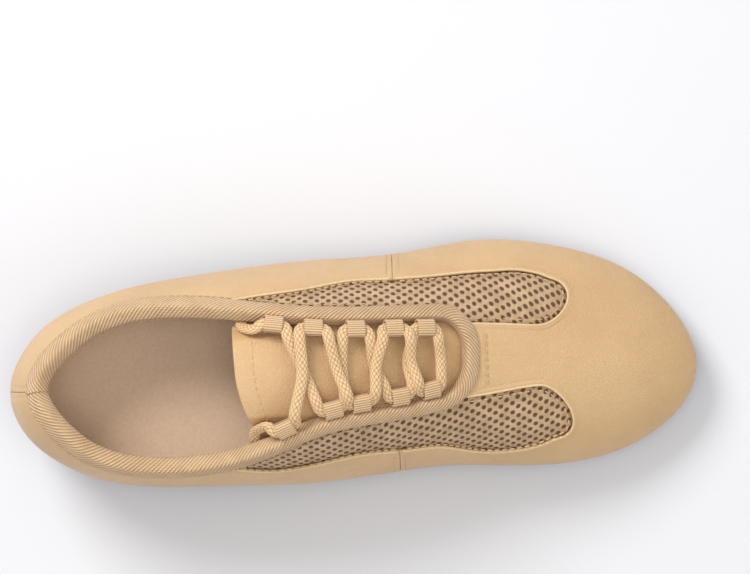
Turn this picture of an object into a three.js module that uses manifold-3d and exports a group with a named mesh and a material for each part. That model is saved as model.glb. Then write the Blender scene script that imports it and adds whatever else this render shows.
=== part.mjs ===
// Left lace-up tap shoe: split sole, leather and spacer-mesh upper, webbing lace loops,
// a heel tap and a toe tap. Millimetres. +X heel to toe, +Y lateral side, +Z up.
// The taps stand on z = 0 and the origin is below the middle of the shoe.
import * as THREE from 'three';
import Module from 'manifold-3d';

const wasm = await Module();
wasm.setup();

// ---- driving dimensions -------------------------------------------------------------
const SHOE_LENGTH = 257;       // guide line, heel back to toe tip; the shoe is 3 less
const HEEL_WIDTH = 74;         // guide line across the heel; the quarters are 4 less
const BALL_WIDTH = 87;         // guide line across the ball; the vamp is 4 less
const HEEL_HEIGHT = 24;        // floor to the upper's lower edge at the heel
const TOE_SPRING = 3.5;        // extra rise of that edge at the toe tip
const UPPER_DEPTH = 60;        // lower edge to the crown line above the heel
const TOE_DEPTH = 29.5;        // lower edge to the crown line over the toes
const FEATHER_TUCK = 2.2;      // how far the upper curls in where it meets the sole
const TAP_THICKNESS = 2.5;
const TAP_BOARD_THICKNESS = 2.0;
const OUTSOLE_THICKNESS = 4.1;
const LEATHER = 1.2;           // upper leather
const MESH = 0.8;              // spacer mesh, counter and toe puff
const LINING = 0.8;
const INSOLE_BOARD_THICKNESS = 1.8;
const INSOLE_THICKNESS = 2.5;
const TONGUE_THICKNESS = 1.4;
const TONGUE_LINING_THICKNESS = 0.8;
const BINDING_WIDTH = 5.2;     // tape shown outside, round the heel
const LACE_BINDING_WIDTH = 3.6;  // the same tape along the lacing
const TAPE = 0.6;
const LACE_WIDTH = 3.0;
const LACE_THICKNESS = 1.8;
const WEBBING = 0.8;
const LACE_ROOM = 0.9;         // on each side of the lace inside a loop
const LACE_SLACK = 0.6;        // over and under it
const LOOP_LENGTH = 6.6;       // webbing width, along the lace
const LOOP_WIDTH = LACE_WIDTH + 2 * (LACE_ROOM + WEBBING);
const LOOP_DEPTH = LACE_THICKNESS + 2 * (LACE_SLACK + WEBBING);
const AGLET_LENGTH = 14;
const SCREW_HEAD_RADIUS = 3.2;
const SCREW_SHANK_RADIUS = 1.3;
const SCREW_LENGTH = 7.5;
const SHANK_WIDTH = 12;
const SHANK_THICKNESS = 1.2;
const CLEAR = 0.3;             // between pieces that touch
const PLY_GAP = 0.6;           // between the layers of the upper

const BALL_HEIGHT = TAP_THICKNESS + TAP_BOARD_THICKNESS + OUTSOLE_THICKNESS + 3 * CLEAR;
const MID_PLY = -(LEATHER + PLY_GAP);
const LINING_PLY = MID_PLY - MESH - PLY_GAP;
const INNER_FACE = LINING_PLY - LINING;

// ---- the last: one surface that every soft piece follows ------------------------------
// A point is (station, rise, off). Stations count 0 (heel back) to 10 (toe tip) along the
// lateral side and on to 20 (heel back again) along the medial side. Rise goes from 0 at the
// sole to 1 at the crown line, and off is the distance outside the surface.
const TOE = 10;
const AROUND = 2 * TOE;
// widest line: [lateral x, lateral y, medial x, medial y] as shares of the length and of
// half the local width, then how far the local width has gone from heel to ball
const WIDEST = [
  [0, 0, 0, 0, 0],
  [0.0165, 0.346, 0.0125, -0.355, 0],
  [0.0667, 0.713, 0.057, -0.693, 0],
  [0.1686, 0.994, 0.157, -0.986, 0],
  [0.306, 1.068, 0.306, -0.992, 0.35],
  [0.439, 1.096, 0.439, -0.965, 0.6],
  [0.561, 1.09, 0.561, -0.869, 0.8],
  [0.6745, 1.148, 0.663, -0.824, 1],
  [0.8, 1.069, 0.788, -0.848, 1],
  [0.9255, 0.729, 0.9216, -0.633, 1],
  [0.9976, -0.014, 0.9976, -0.014, 1],
];
// crown line: [x share, y share, height share, toe share, lean of the toe sections]
const CROWN = [
  [0.1765, 0.03, 1, 0, 0],
  [0.1784, 0.03, 1, 0, 0],
  [0.1863, 0.03, 1, 0, 0],
  [0.2196, 0.04, 1.025, 0, 0],
  [0.3176, 0.053, 1.108, 0, 0],
  [0.4392, 0.077, 1.142, 0, 0],
  [0.5569, 0.118, 1.02, 0, 0],
  [0.6588, 0.143, 0.817, 0, 0],
  [0.749, 0.133, 0, 1.339, 0.135],
  [0.8, 0.1, 0, 1.153, 0.44],
  [0.8196, 0.071, 0, 1, 0.576],
];
// lower edge: [share of the heel lift, share of the toe spring]
const FEATHER = [
  [1, 0], [1, 0], [1, 0], [0.966, 0], [0.69, 0], [0.276, 0], [0.055, 0],
  [0, 0], [0, 0], [0, 0.286], [0, 1],
];
// rise of the opening's edge along the lateral and the medial side
const TOPLINE_LATERAL = [0.55, 0.55, 0.548, 0.487, 0.585, 0.708, 0.755, 0.805];
const TOPLINE_MEDIAL = [0.55, 0.575, 0.55, 0.462, 0.5, 0.728, 0.775, 0.82];
const THROAT_CORNER = 6.55;    // station where the opening turns across the foot
const THROAT_FRONT = 7;        // station of its front edge
// mesh windows, [station, rise]: edge towards the sole, then edge of the centre strip
const WINDOW = {
  lateral: {
    low: [[3.9, 0.56], [4.3, 0.535], [4.94, 0.515], [5.46, 0.472], [5.92, 0.485],
      [6.58, 0.523], [7.2, 0.53], [7.6, 0.517], [8.0, 0.565], [8.3, 0.72]],
    high: [[6.8, 0.85], [7.4, 0.862], [8.0, 0.86], [8.2, 0.82], [8.3, 0.72]],
  },
  medial: {
    low: [[3.9, 0.485], [4.2, 0.43], [4.56, 0.405], [5.44, 0.488], [6.11, 0.467],
      [6.53, 0.462], [7.13, 0.385], [7.69, 0.425], [8.1, 0.538], [8.34, 0.7]],
    high: [[6.8, 0.81], [7.1, 0.82], [8.05, 0.865], [8.25, 0.81], [8.34, 0.7]],
  },
};
const MESH_UNDERLAP = 0.045;   // rise hidden under the leather round a window
const QUARTER_FRONT = 5.93;    // station of the seam between quarters and vamp
const VAMP_REAR = 5.96;
const BACK_SEAM = 0.03;
const LINING_SEAM = 5.86;
const VAMP_LINING_REAR = 5.89;
const LOOP_STATIONS = {
  lateral: [4.62, 5.03, 5.49, 5.94, 6.35],
  medial: [4.74, 5.23, 5.53, 6.0, 6.43],
};

const { abs, sign, sin, cos, sqrt, PI, min, max, floor, round, hypot } = Math;
const mix = (a, b, t) => a + (b - a) * t;
const range = (n) => Array.from({ length: n }, (_, i) => i);
const span = (a, b, n) => range(n + 1).map((i) => mix(a, b, i / n));
const wrap = (s) => ((s % AROUND) + AROUND) % AROUND;
const sideOf = (s) => (wrap(s) <= TOE ? 'lateral' : 'medial');
const fromHeel = (s) => min(wrap(s), AROUND - wrap(s));
const onSide = (side, k) => (side === 'lateral' ? k : AROUND - k);

// closed cubic spline through one value per station
function ringSpline(values) {
  const n = values.length;
  let knots = [...values];
  for (const _ of range(60)) {
    knots = values.map((v, i) => (6 * v - knots[(i + n - 1) % n] - knots[(i + 1) % n]) / 4);
  }
  return (s) => {
    const i = floor(s);
    const w = s - i;
    const knot = (k) => knots[(((i + k) % n) + n) % n];
    return (knot(-1) * (1 - w) ** 3 + knot(0) * (3 * w ** 3 - 6 * w ** 2 + 4)
      + knot(1) * (-3 * w ** 3 + 3 * w ** 2 + 3 * w + 1) + knot(2) * w ** 3) / 6;
  };
}

// lateral values by station, then the medial ones back to the heel
const ring = (lateral, medial = lateral) => [...lateral, ...medial.slice(1, TOE).reverse()];

// smooth curve through [station, value] pairs, level outside them
function through(points) {
  return (s) => {
    const last = points.length - 1;
    if (s <= points[0][0]) return points[0][1];
    if (s >= points[last][0]) return points[last][1];
    const i = points.findIndex((p) => p[0] > s) - 1;
    const slope = (k) => {
      const a = points[max(k - 1, 0)];
      const b = points[min(k + 1, last)];
      return (b[1] - a[1]) / (b[0] - a[0]);
    };
    const [s0, v0] = points[i];
    const [s1, v1] = points[i + 1];
    const h = s1 - s0;
    const t = (s - s0) / h;
    return v0 * (1 + 2 * t) * (1 - t) ** 2 + slope(i) * h * t * (1 - t) ** 2
      + v1 * t * t * (3 - 2 * t) + slope(i + 1) * h * t * t * (t - 1);
  };
}

const halfWidth = (row) => mix(HEEL_WIDTH, BALL_WIDTH, row[4]) / 2;
const widestX = ringSpline(ring(WIDEST.map((r) => r[0] * SHOE_LENGTH),
  WIDEST.map((r) => r[2] * SHOE_LENGTH)));
const widestY = ringSpline(ring(WIDEST.map((r) => r[1] * halfWidth(r)),
  WIDEST.map((r) => r[3] * halfWidth(r))));
const featherZ = ringSpline(ring(FEATHER.map((r) => (
  BALL_HEIGHT + (HEEL_HEIGHT - BALL_HEIGHT) * r[0] + TOE_SPRING * r[1]))));
const crownX = ringSpline(ring(CROWN.map((r) => r[0] * SHOE_LENGTH)));
const crownY = ringSpline(ring(CROWN.map((r) => r[1] * BALL_WIDTH / 2)));
const crownRise = ringSpline(ring(CROWN.map((r) => r[2] * UPPER_DEPTH + r[3] * TOE_DEPTH)));
const crownLean = ringSpline(ring(CROWN.map((r) => r[4] * TOE_DEPTH)));

const FULLNESS = 0.87;         // below 1 the cross-sections are fuller than an ellipse
const TUCK_RISE = 2 / 9;       // rise over which the lower edge curls in
const bend = (v) => sign(v) * abs(v) ** FULLNESS;

// unit vector pointing out of the shoe in plan
function planNormal(s) {
  const step = 1e-3;
  const tx = widestX(s + step) - widestX(s - step);
  const ty = widestY(s + step) - widestY(s - step);
  return [-ty / hypot(tx, ty), tx / hypot(tx, ty)];
}

function surface(s, v) {
  const c = bend(cos(v * PI / 2));
  const up = bend(sin(v * PI / 2));
  const foot = featherZ(s) + crownLean(s);
  const tuck = FEATHER_TUCK * max(1 - v / TUCK_RISE, 0) ** 2;
  const [nx, ny] = planNormal(s);
  return new THREE.Vector3(
    mix(crownX(s), widestX(s), c) - nx * tuck,
    mix(crownY(s), widestY(s), c) - ny * tuck,
    foot - crownLean(s) * c + (crownRise(s) - crownLean(s)) * up,
  );
}

function slopes(s, v) {
  const step = 1e-3;
  const mid = min(max(v, 2 * step), v > 1 ? v : 1 - 2 * step);
  return {
    along: surface(s + step, v).sub(surface(s - step, v)).divideScalar(2 * step),
    rise: surface(s, mid + step).sub(surface(s, mid - step)).divideScalar(2 * step),
  };
}

// the columns meet at the toe end of the crown line, so the normal is taken just below it
const normalLimit = (s) => mix(1, 0.95, min(max(fromHeel(s) - 7.5, 0), 1));
function normalAt(s, v) {
  const { along, rise } = slopes(s, v > 1 ? v : min(v, normalLimit(s)));
  return rise.cross(along).normalize();
}

const pointAt = (s, v, off = 0) => surface(s, v).addScaledVector(normalAt(s, v), off);

// rise of the opening's edge at any station: up the side, then round the throat corner
const sideRise = ringSpline(ring([...TOPLINE_LATERAL, 0.82, 0.83, 0.83],
  [...TOPLINE_MEDIAL, 0.82, 0.83, 0.83]));
function topline(s) {
  const k = fromHeel(s);
  const side = sideRise(s);
  if (k <= THROAT_CORNER) return side;
  if (k >= THROAT_FRONT) return 1;
  const t = (k - THROAT_CORNER) / (THROAT_FRONT - THROAT_CORNER);
  return mix(side, 1, 1 - sqrt(1 - t * t));
}

// lower edge of the mesh window, and the edge of the strip between the two windows
function windowLow(s) {
  const edge = WINDOW[sideOf(s)].low;
  return fromHeel(s) <= edge[0][0] ? topline(s) : min(through(edge)(fromHeel(s)), topline(s));
}
function windowHigh(s) {
  const { low, high } = WINDOW[sideOf(s)];
  const k = fromHeel(s);
  if (k <= low[0][0]) return topline(s);
  if (k <= high[0][0]) return topline(s);
  return min(through(high)(k), topline(s));
}

// ---- solids ---------------------------------------------------------------------------
const key = (p) => [p.x, p.y, p.z].map((c) => round(c * 500)).join();

function bufferGeometry(points, faces) {
  const geometry = new THREE.BufferGeometry();
  const flat = points.flatMap((p) => [p.x, p.y, p.z]);
  geometry.setAttribute('position', new THREE.Float32BufferAttribute(flat, 3));
  geometry.setIndex(faces.flat());
  geometry.computeVertexNormals();
  return geometry;
}

// Closes sheets of cells into one solid. Each sheet is a grid of corners {at, top, low}:
// `at` says which corners are the same one, `top` and `low` are its two faces' points.
function closeSheets(sheets, skipRow = -1) {
  const ids = new Map();
  const tops = [];
  const lows = [];
  const idOf = (corner) => {
    const name = key(corner.at);
    if (!ids.has(name)) {
      ids.set(name, tops.length);
      tops.push(corner.top);
      lows.push(corner.low);
    }
    return ids.get(name);
  };
  const faces = [];
  for (const grid of sheets) {
    for (let i = 0; i + 1 < grid.length; i += 1) {
      for (let j = 0; j + 1 < grid[i].length; j += 1) {
        if (j === skipRow) continue;
        const [a, b, c, d] = [grid[i][j], grid[i][j + 1], grid[i + 1][j + 1], grid[i + 1][j]]
          .map(idOf);
        for (const face of [[a, b, c], [a, c, d]]) {
          if (new Set(face).size === 3) faces.push(face);
        }
      }
    }
  }
  const edges = new Set(faces.flatMap(([a, b, c]) => [[a, b], [b, c], [c, a]]).map(String));
  const n = tops.length;
  const walls = [];
  for (const edge of edges) {
    const [a, b] = edge.split(',').map(Number);
    if (!edges.has(`${b},${a}`)) walls.push([b, a, a + n], [b, a + n, b + n]);
  }
  const under = faces.map(([a, b, c]) => [a + n, c + n, b + n]);
  return bufferGeometry([...tops, ...lows], [...faces, ...under, ...walls]);
}

// a ply of the upper: stations x rises, between two offsets
function ply(stations, rises, top, low) {
  return stations.map((s) => rises(s).map((v) => ({
    at: surface(s, v), top: pointAt(s, v, top(s, v)), low: pointAt(s, v, low(s, v)),
  })));
}
const flatPly = (stations, rises, top, thickness) => (
  ply(stations, rises, () => top, () => top - thickness));

// a plate across the shoe from the lateral to the medial side, `inset` inside the widest line
function plate({ from, to, steps, across, top, low, inset, lowInset = inset, shift = () => 0 }) {
  const edge = (s, distance) => {
    const d = typeof distance === 'function' ? distance(s) : distance;
    const [nx, ny] = planNormal(s);
    return [widestX(s) - nx * d, widestY(s) - ny * d];
  };
  const place = (k, t, d, z) => {
    const s = min(k + shift(k, t), TOE);
    const [ax, ay] = edge(s, d);
    const [bx, by] = edge(AROUND - s, d);
    return new THREE.Vector3(mix(ax, bx, t), mix(ay, by, t), z(s));
  };
  const grid = span(from, to, steps).map((k) => span(0, 1, across).map((t) => {
    const corner = place(k, t, inset, top);
    return { at: corner, top: corner, low: place(k, t, lowInset, low) };
  }));
  return closeSheets([grid]);
}

// a tube through points, with its section's flat way along each point's `up`
function sweep(path, section, closed) {
  const n = path.length;
  const m = section.length;
  const rings = path.map(({ at, side, up }) => section.map(([a, b]) => (
    at.clone().addScaledVector(side, a).addScaledVector(up, b))));
  const faces = [];
  for (let i = 0; i < (closed ? n : n - 1); i += 1) {
    for (let j = 0; j < m; j += 1) {
      const [a, b] = [i * m + j, i * m + (j + 1) % m];
      const [c, d] = [((i + 1) % n) * m + (j + 1) % m, ((i + 1) % n) * m + j];
      faces.push([a, b, c], [a, c, d]);
    }
  }
  for (let j = 1; !closed && j + 1 < m; j += 1) {
    faces.push([0, j + 1, j], [(n - 1) * m, (n - 1) * m + j, (n - 1) * m + j + 1]);
  }
  return bufferGeometry(rings.flat(), faces);
}

function toManifold(geometry) {
  const ids = new Map();
  const merged = [];
  const position = geometry.getAttribute('position');
  const index = geometry.index ? [...geometry.index.array] : range(position.count);
  const triangles = index.map((i) => {
    const p = new THREE.Vector3().fromBufferAttribute(position, i);
    const name = key(p);
    if (!ids.has(name)) {
      ids.set(name, merged.length / 3);
      merged.push(p.x, p.y, p.z);
    }
    return ids.get(name);
  });
  const whole = range(triangles.length / 3).map((i) => triangles.slice(3 * i, 3 * i + 3))
    .filter((face) => new Set(face).size === 3);
  return new wasm.Manifold(new wasm.Mesh({
    numProp: 3, vertProperties: new Float32Array(merged), triVerts: new Uint32Array(whole.flat()),
  }));
}

function fromManifold(solid) {
  const { vertProperties, triVerts, numProp } = solid.getMesh();
  const points = range(vertProperties.length / numProp).map((i) => (
    new THREE.Vector3(...vertProperties.slice(i * numProp, i * numProp + 3))));
  const faces = range(triVerts.length / 3).map((i) => [...triVerts.slice(3 * i, 3 * i + 3)]);
  return bufferGeometry(points, faces);
}

function cut(geometry, cutters) {
  let solid = toManifold(geometry);
  for (const cutter of cutters) solid = solid.subtract(toManifold(cutter));
  return fromManifold(solid);
}

const lathe = (profile, sides = 20) => (
  new THREE.LatheGeometry(profile.map(([r, z]) => new THREE.Vector2(r, z)), sides)
    .rotateX(PI / 2));

const group = new THREE.Group();
function addPiece(name, geometry, colour, roughness, metalness = 0) {
  const material = new THREE.MeshStandardMaterial({ color: colour, roughness, metalness });
  const mesh = new THREE.Mesh(geometry, material);
  mesh.name = name;
  group.add(mesh);
}

const COLOURS = {
  leather: 0xdebc8c, mesh: 0xc8aa82, binding: 0xcdaa7d, lace: 0xe1be8c, lining: 0xa59473,
  insole: 0xc8aa8c, sole: 0x5a322d, board: 0x6b4a36, tap: 0xb9bcc0, steel: 0x9a9da2,
  stiffener: 0xe6dfcf,
};

// ---- upper ------------------------------------------------------------------------------
const cornerStations = (side) => range(5).map((i) => (
  onSide(side, mix(THROAT_CORNER, THROAT_FRONT, sin((i + 1) * PI / 10)))));

const increasing = (stations) => [...stations].sort((a, b) => a - b);

function addQuarter(side) {
  const stations = increasing([
    BACK_SEAM, ...span(0.3, 3.6, 11), 3.9, 4.05, ...span(4.3, 5.7, 4), QUARTER_FRONT,
  ].map((k) => onSide(side, k)));
  const grid = flatPly(stations, (s) => span(0, windowLow(s), 7), 0, LEATHER);
  addPiece(`quarter_${side}`, closeSheets([grid]), COLOURS.leather, 0.55);
}

// cells below the window, then the window's own row, then cells up to the crown line
const VAMP_WINDOW_ROW = 5;
const vampRises = (s) => [
  ...span(0, windowLow(s), VAMP_WINDOW_ROW), ...span(windowHigh(s), topline(s), 3),
];
function vampStations(side) {
  const tip = side === 'lateral' ? 8.3 : 8.34;
  return increasing([
    VAMP_REAR, 6.25, THROAT_CORNER, 7.3, 7.6, 7.9, 8.1, 8.22, tip, ...span(8.6, 10, 6),
  ].map((k) => onSide(side, k)).concat(cornerStations(side)));
}
function addVamp() {
  const sheets = ['lateral', 'medial'].map((side) => (
    flatPly(vampStations(side), vampRises, 0, LEATHER)));
  addPiece('vamp', closeSheets(sheets, VAMP_WINDOW_ROW), COLOURS.leather, 0.55);
}

const EDGE_SLIP = 0.006;       // rise by which inner plies stop short of the binding
function addMeshPanel(side) {
  const { low, high } = WINDOW[side];
  const ends = [low[0][0], low[low.length - 1][0]];
  const clamp = (s) => onSide(side, min(max(fromHeel(s), ends[0] + 0.01), ends[1]));
  const rises = (s) => {
    const at = clamp(s);
    const strip = fromHeel(at) > high[0][0] ? windowHigh(at) + MESH_UNDERLAP : 1;
    return span(windowLow(at) - MESH_UNDERLAP, min(strip, topline(s) - EDGE_SLIP), 5);
  };
  const stations = increasing([
    ends[0] - 0.12, ends[0] + 0.05, ...span(4.2, 6.4, 8), ...span(6.6, 8.2, 7), ends[1],
    ends[1] + 0.12,
  ].map((k) => onSide(side, k)));
  addPiece(`mesh_panel_${side}`, closeSheets([flatPly(stations, rises, MID_PLY, MESH)]),
    COLOURS.mesh, 0.85);
}

function addStiffeners() {
  const counter = flatPly(span(-2.9, 2.9, 20), (s) => (
    span(0.02, 0.37 - 0.012 * s * s, 4)), MID_PLY, MESH);
  addPiece('heel_counter', closeSheets([counter]), COLOURS.stiffener, 0.7);
  const puff = flatPly(span(8.9, 11.1, 12), (s) => (
    span(0.03, 0.62 - 0.18 * (s - TOE) ** 2, 5)), MID_PLY, MESH);
  addPiece('toe_puff', closeSheets([puff]), COLOURS.stiffener, 0.7);
}

function addLinings() {
  const rises = (s) => span(0, topline(s) - EDGE_SLIP, 6);
  const rear = flatPly(span(-LINING_SEAM, LINING_SEAM, 36), rises, LINING_PLY, LINING);
  addPiece('quarter_lining', closeSheets([rear]), COLOURS.lining, 0.9);
  const full = (s) => span(0, topline(s) < 1 ? topline(s) - EDGE_SLIP : 1, 8);
  const fronts = ['lateral', 'medial'].map((side) => {
    const stations = increasing([
      VAMP_LINING_REAR, 6.25, THROAT_CORNER, 7.3, 7.6, 7.9, 8.22, ...span(8.6, TOE, 6),
    ].map((k) => onSide(side, k)).concat(cornerStations(side)));
    return flatPly(stations, full, LINING_PLY, LINING);
  });
  addPiece('vamp_lining', closeSheets(fronts), COLOURS.lining, 0.9);
}

// ---- binding, loops and lace ------------------------------------------------------------
// a frame on the opening's edge: tangent towards the toe side of travel, and `away`, which
// points from the opening into the leather along the surface
function edgeFrame(s, v, before, after) {
  const tangent = surface(...after).sub(surface(...before)).normalize();
  const normal = normalAt(s, v);
  const away = normal.clone().cross(tangent).normalize();
  return { s, v, tangent, normal, away };
}

// the surface point `distance` along `direction` from (s, v)
function shifted({ s, v }, direction, distance, off) {
  const { along, rise } = slopes(s, v);
  const [aa, ar, rr] = [along.dot(along), along.dot(rise), rise.dot(rise)];
  const [da, dr] = [direction.dot(along) * distance, direction.dot(rise) * distance];
  const det = aa * rr - ar * ar;
  return pointAt(s + (da * rr - dr * ar) / det, v + (dr * aa - da * ar) / det, off);
}

const edgePath = () => {
  const lateral = [...span(0, THROAT_CORNER, 20), ...cornerStations('lateral').slice(0, 4)];
  const medial = lateral.slice(1).reverse().map((k) => AROUND - k);
  return [...lateral, THROAT_FRONT, ...medial].map((s) => [s, topline(s)]);
};

function bindingWidth(s) {
  const t = min(max((fromHeel(s) - 3.2) / 1.6, 0), 1);
  return mix(BINDING_WIDTH, LACE_BINDING_WIDTH, t * t * (3 - 2 * t));
}

const BINDING_REACH = 1.3;     // how far the tape stands past the leather's edge
function addBinding() {
  const path = edgePath();
  const outer = 0.35;
  const inner = INNER_FACE - PLY_GAP;
  const leg = 2.4;
  const rings = path.map(([s, v], i) => {
    const frame = edgeFrame(s, v, path[(i + path.length - 1) % path.length],
      path[(i + 1) % path.length]);
    const w = bindingWidth(s);
    return [
      [w, outer], [w, outer + TAPE], [-0.8, outer + TAPE], [-BINDING_REACH, 0],
      [-BINDING_REACH, inner + 0.3], [-0.8, inner - TAPE], [leg, inner - TAPE], [leg, inner],
      [-0.4, inner], [-0.4, outer],
    ].map(([d, off]) => shifted(frame, frame.away, d, off));
  });
  const m = rings[0].length;
  const faces = rings.flatMap((_, i) => range(m).flatMap((j) => {
    const next = (i + 1) % rings.length;
    const [a, b] = [i * m + j, i * m + (j + 1) % m];
    const [c, d] = [next * m + (j + 1) % m, next * m + j];
    return [[a, b, c], [a, c, d]];
  }));
  addPiece('topline_binding', bufferGeometry(rings.flat(), faces), COLOURS.binding, 0.8);
}

const LOOP_OFF = -0.8;         // height of a loop's middle over the last surface
const LOOP_SEAT = BINDING_REACH + CLEAR + LOOP_WIDTH / 2;
function loopFrame(side, index) {
  const s = onSide(side, LOOP_STATIONS[side][index]);
  const step = 0.05;
  const [toHeel, toToe] = side === 'lateral' ? [s - step, s + step] : [s + step, s - step];
  const travel = side === 'lateral' ? [toHeel, toToe] : [toToe, toHeel];
  const frame = edgeFrame(s, topline(s), [travel[0], topline(travel[0])],
    [travel[1], topline(travel[1])]);
  const centre = shifted(frame, frame.away, -LOOP_SEAT, LOOP_OFF);
  const forward = frame.tangent.clone().multiplyScalar(side === 'lateral' ? 1 : -1);
  const inward = frame.away.clone().negate();
  const above = shifted(frame, frame.away, -LOOP_SEAT, LOOP_OFF + 1);
  const up = above.sub(centre).normalize();
  inward.addScaledVector(up, -inward.dot(up)).normalize();
  return { centre, forward, inward, up };
}

const oval = (width, depth, sides) => range(sides).map((i) => {
  const a = (i + 0.5) * 2 * PI / sides;
  const round4 = (v) => sign(v) * sqrt(abs(v));
  return [round4(cos(a)) * width / 2, round4(sin(a)) * depth / 2];
});

function addLoop(side, index) {
  const { centre, forward, inward, up } = loopFrame(side, index);
  const tube = (width, depth, length) => sweep([-1, 1].map((end) => ({
    at: centre.clone().addScaledVector(forward, end * length / 2), side: inward, up,
  })), side === 'lateral' ? oval(width, depth, 8).reverse() : oval(width, depth, 8), false);
  const band = cut(tube(LOOP_WIDTH, LOOP_DEPTH, LOOP_LENGTH),
    [tube(LOOP_WIDTH - 2 * WEBBING, LOOP_DEPTH - 2 * WEBBING, LOOP_LENGTH + 2)]);
  addPiece(`lace_loop_${side}_${index + 1}`, band, COLOURS.binding, 0.8);
}

const LACE_UNDER = -3.4;       // height of the lower strand where two cross
const LACE_OVER = -0.9;
// [station from the heel, rise, off] from the rear loop: under the binding's edge, between
// the tongue and the lining, then forward out of sight
const LACE_TAIL = {
  lateral: [
    [4.4, 0.73, -3], [4.3, 0.69, -5.6], [4.25, 0.64, -7.1], [4.25, 0.58, -7], [4.32, 0.51, -6.4],
    [4.45, 0.45, -6.1], [4.65, 0.41, -6], [4.9, 0.38, -6],
  ],
  medial: [
    [4.5, 0.735, -2.8], [4.42, 0.69, -5.4], [4.36, 0.64, -7.1], [4.35, 0.57, -7], [4.4, 0.5, -6.4],
    [4.5, 0.44, -6.1], [4.65, 0.4, -6], [4.9, 0.37, -6],
  ],
};
const AGLET_END = [5.4, 0.36, -6];

const onSurface = (side, [k, v, off]) => {
  const s = onSide(side, k);
  return { at: pointAt(s, v, off), up: normalAt(s, v) };
};

// from the rear of one loop across the tongue to the front of the next one back
function strand(fromSide, fromIndex, over) {
  const toSide = fromSide === 'lateral' ? 'medial' : 'lateral';
  const a = loopFrame(fromSide, fromIndex);
  const b = loopFrame(toSide, fromIndex - 1);
  const lift = over ? 1.9 : 0;
  const mouth = (loop, way, out, inwards, rise) => ({
    at: loop.centre.clone().addScaledVector(loop.forward, way * (LOOP_LENGTH / 2 + out))
      .addScaledVector(loop.inward, inwards).addScaledVector(loop.up, rise),
    up: loop.up,
  });
  const middle = (LOOP_STATIONS[fromSide][fromIndex] + LOOP_STATIONS[toSide][fromIndex - 1]) / 2;
  return [
    mouth(a, -1, -1, 0, 0), mouth(a, -1, 0.4, 0.1, 0),
    mouth(a, -1, 1.5, 1.7, lift * 0.6), mouth(a, -1, 1.9, 4, lift),
    onSurface(fromSide, [middle + 0.01, 1, over ? LACE_OVER : LACE_UNDER]),
    mouth(b, 1, 1.9, 4, lift), mouth(b, 1, 1.5, 1.7, lift * 0.6),
    mouth(b, 1, 0.4, 0.1, 0), mouth(b, 1, -1, 0, 0),
  ];
}

function laceRoute() {
  const last = LOOP_STATIONS.lateral.length - 1;
  const halves = ['lateral', 'medial'].map((side) => {
    const points = [];
    let from = side;
    for (let row = last; row > 0; row -= 1) {
      const loop = loopFrame(from, row);
      if (row === last) {
        const front = (out, inwards) => ({
          at: loop.centre.clone().addScaledVector(loop.forward, LOOP_LENGTH / 2 + out)
            .addScaledVector(loop.inward, inwards),
          up: loop.up,
        });
        points.push(front(2.2, 4.5), front(1.6, 1.8), front(0.4, 0.1), front(-1, 0));
      }
      // the strand that starts on the medial side lies on top, except in the second row
      points.push(...strand(from, row, from === 'medial' ? row % 2 === 0 : row % 2 === 1));
      from = from === 'lateral' ? 'medial' : 'lateral';
    }
    const loop = loopFrame(from, 0);
    points.push({
      at: loop.centre.clone().addScaledVector(loop.forward, -LOOP_LENGTH / 2 - 0.5), up: loop.up,
    });
    points.push(...LACE_TAIL[from].map((p) => onSurface(from, p)));
    return points;
  });
  const bar = onSurface('lateral', [6.55, 1, -1.8]);
  return [...halves[0].reverse(), bar, ...halves[1]];
}

function tubeFrames(points) {
  return points.map(({ at, up }, i) => {
    const tangent = points[min(i + 1, points.length - 1)].at.clone()
      .sub(points[max(i - 1, 0)].at).normalize();
    const side = up.clone().cross(tangent).normalize();
    return { at, side, up: tangent.clone().cross(side).normalize() };
  });
}

function addLace() {
  const section = oval(LACE_WIDTH, LACE_THICKNESS, 8);
  addPiece('lace', sweep(tubeFrames(laceRoute()), section, false), COLOURS.lace, 0.85);
}

function addAglet(side) {
  const start = onSurface(side, LACE_TAIL[side][LACE_TAIL[side].length - 1]);
  const towards = onSurface(side, AGLET_END).at.sub(start.at).normalize();
  const from = start.at.clone().addScaledVector(towards, CLEAR + 0.1);
  const points = [0, AGLET_LENGTH].map((d) => ({
    at: from.clone().addScaledVector(towards, d), up: start.up,
  }));
  addPiece(`aglet_${side}`, sweep(tubeFrames(points), oval(2.6, 2.2, 12), false),
    COLOURS.steel, 0.35, 0.9);
}

// ---- tongue -----------------------------------------------------------------------------
const TONGUE_REAR = 4.14;
const TONGUE_FRONT = 7.35;
const TONGUE_SKEW = 0.26;      // station by which the medial edge starts further forward
const TONGUE_UNDERLAP = 0.06;  // rise hidden under the quarters
const TONGUE_TOP = INNER_FACE - PLY_GAP - TAPE - 0.5;
const TONGUE_STATIONS = [
  ...span(TONGUE_REAR, 5.3, 5), ...span(5.7, 6.7, 3), THROAT_FRONT, 7.2, TONGUE_FRONT,
];
const clamp01 = (t) => min(max(t, 0), 1);
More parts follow.
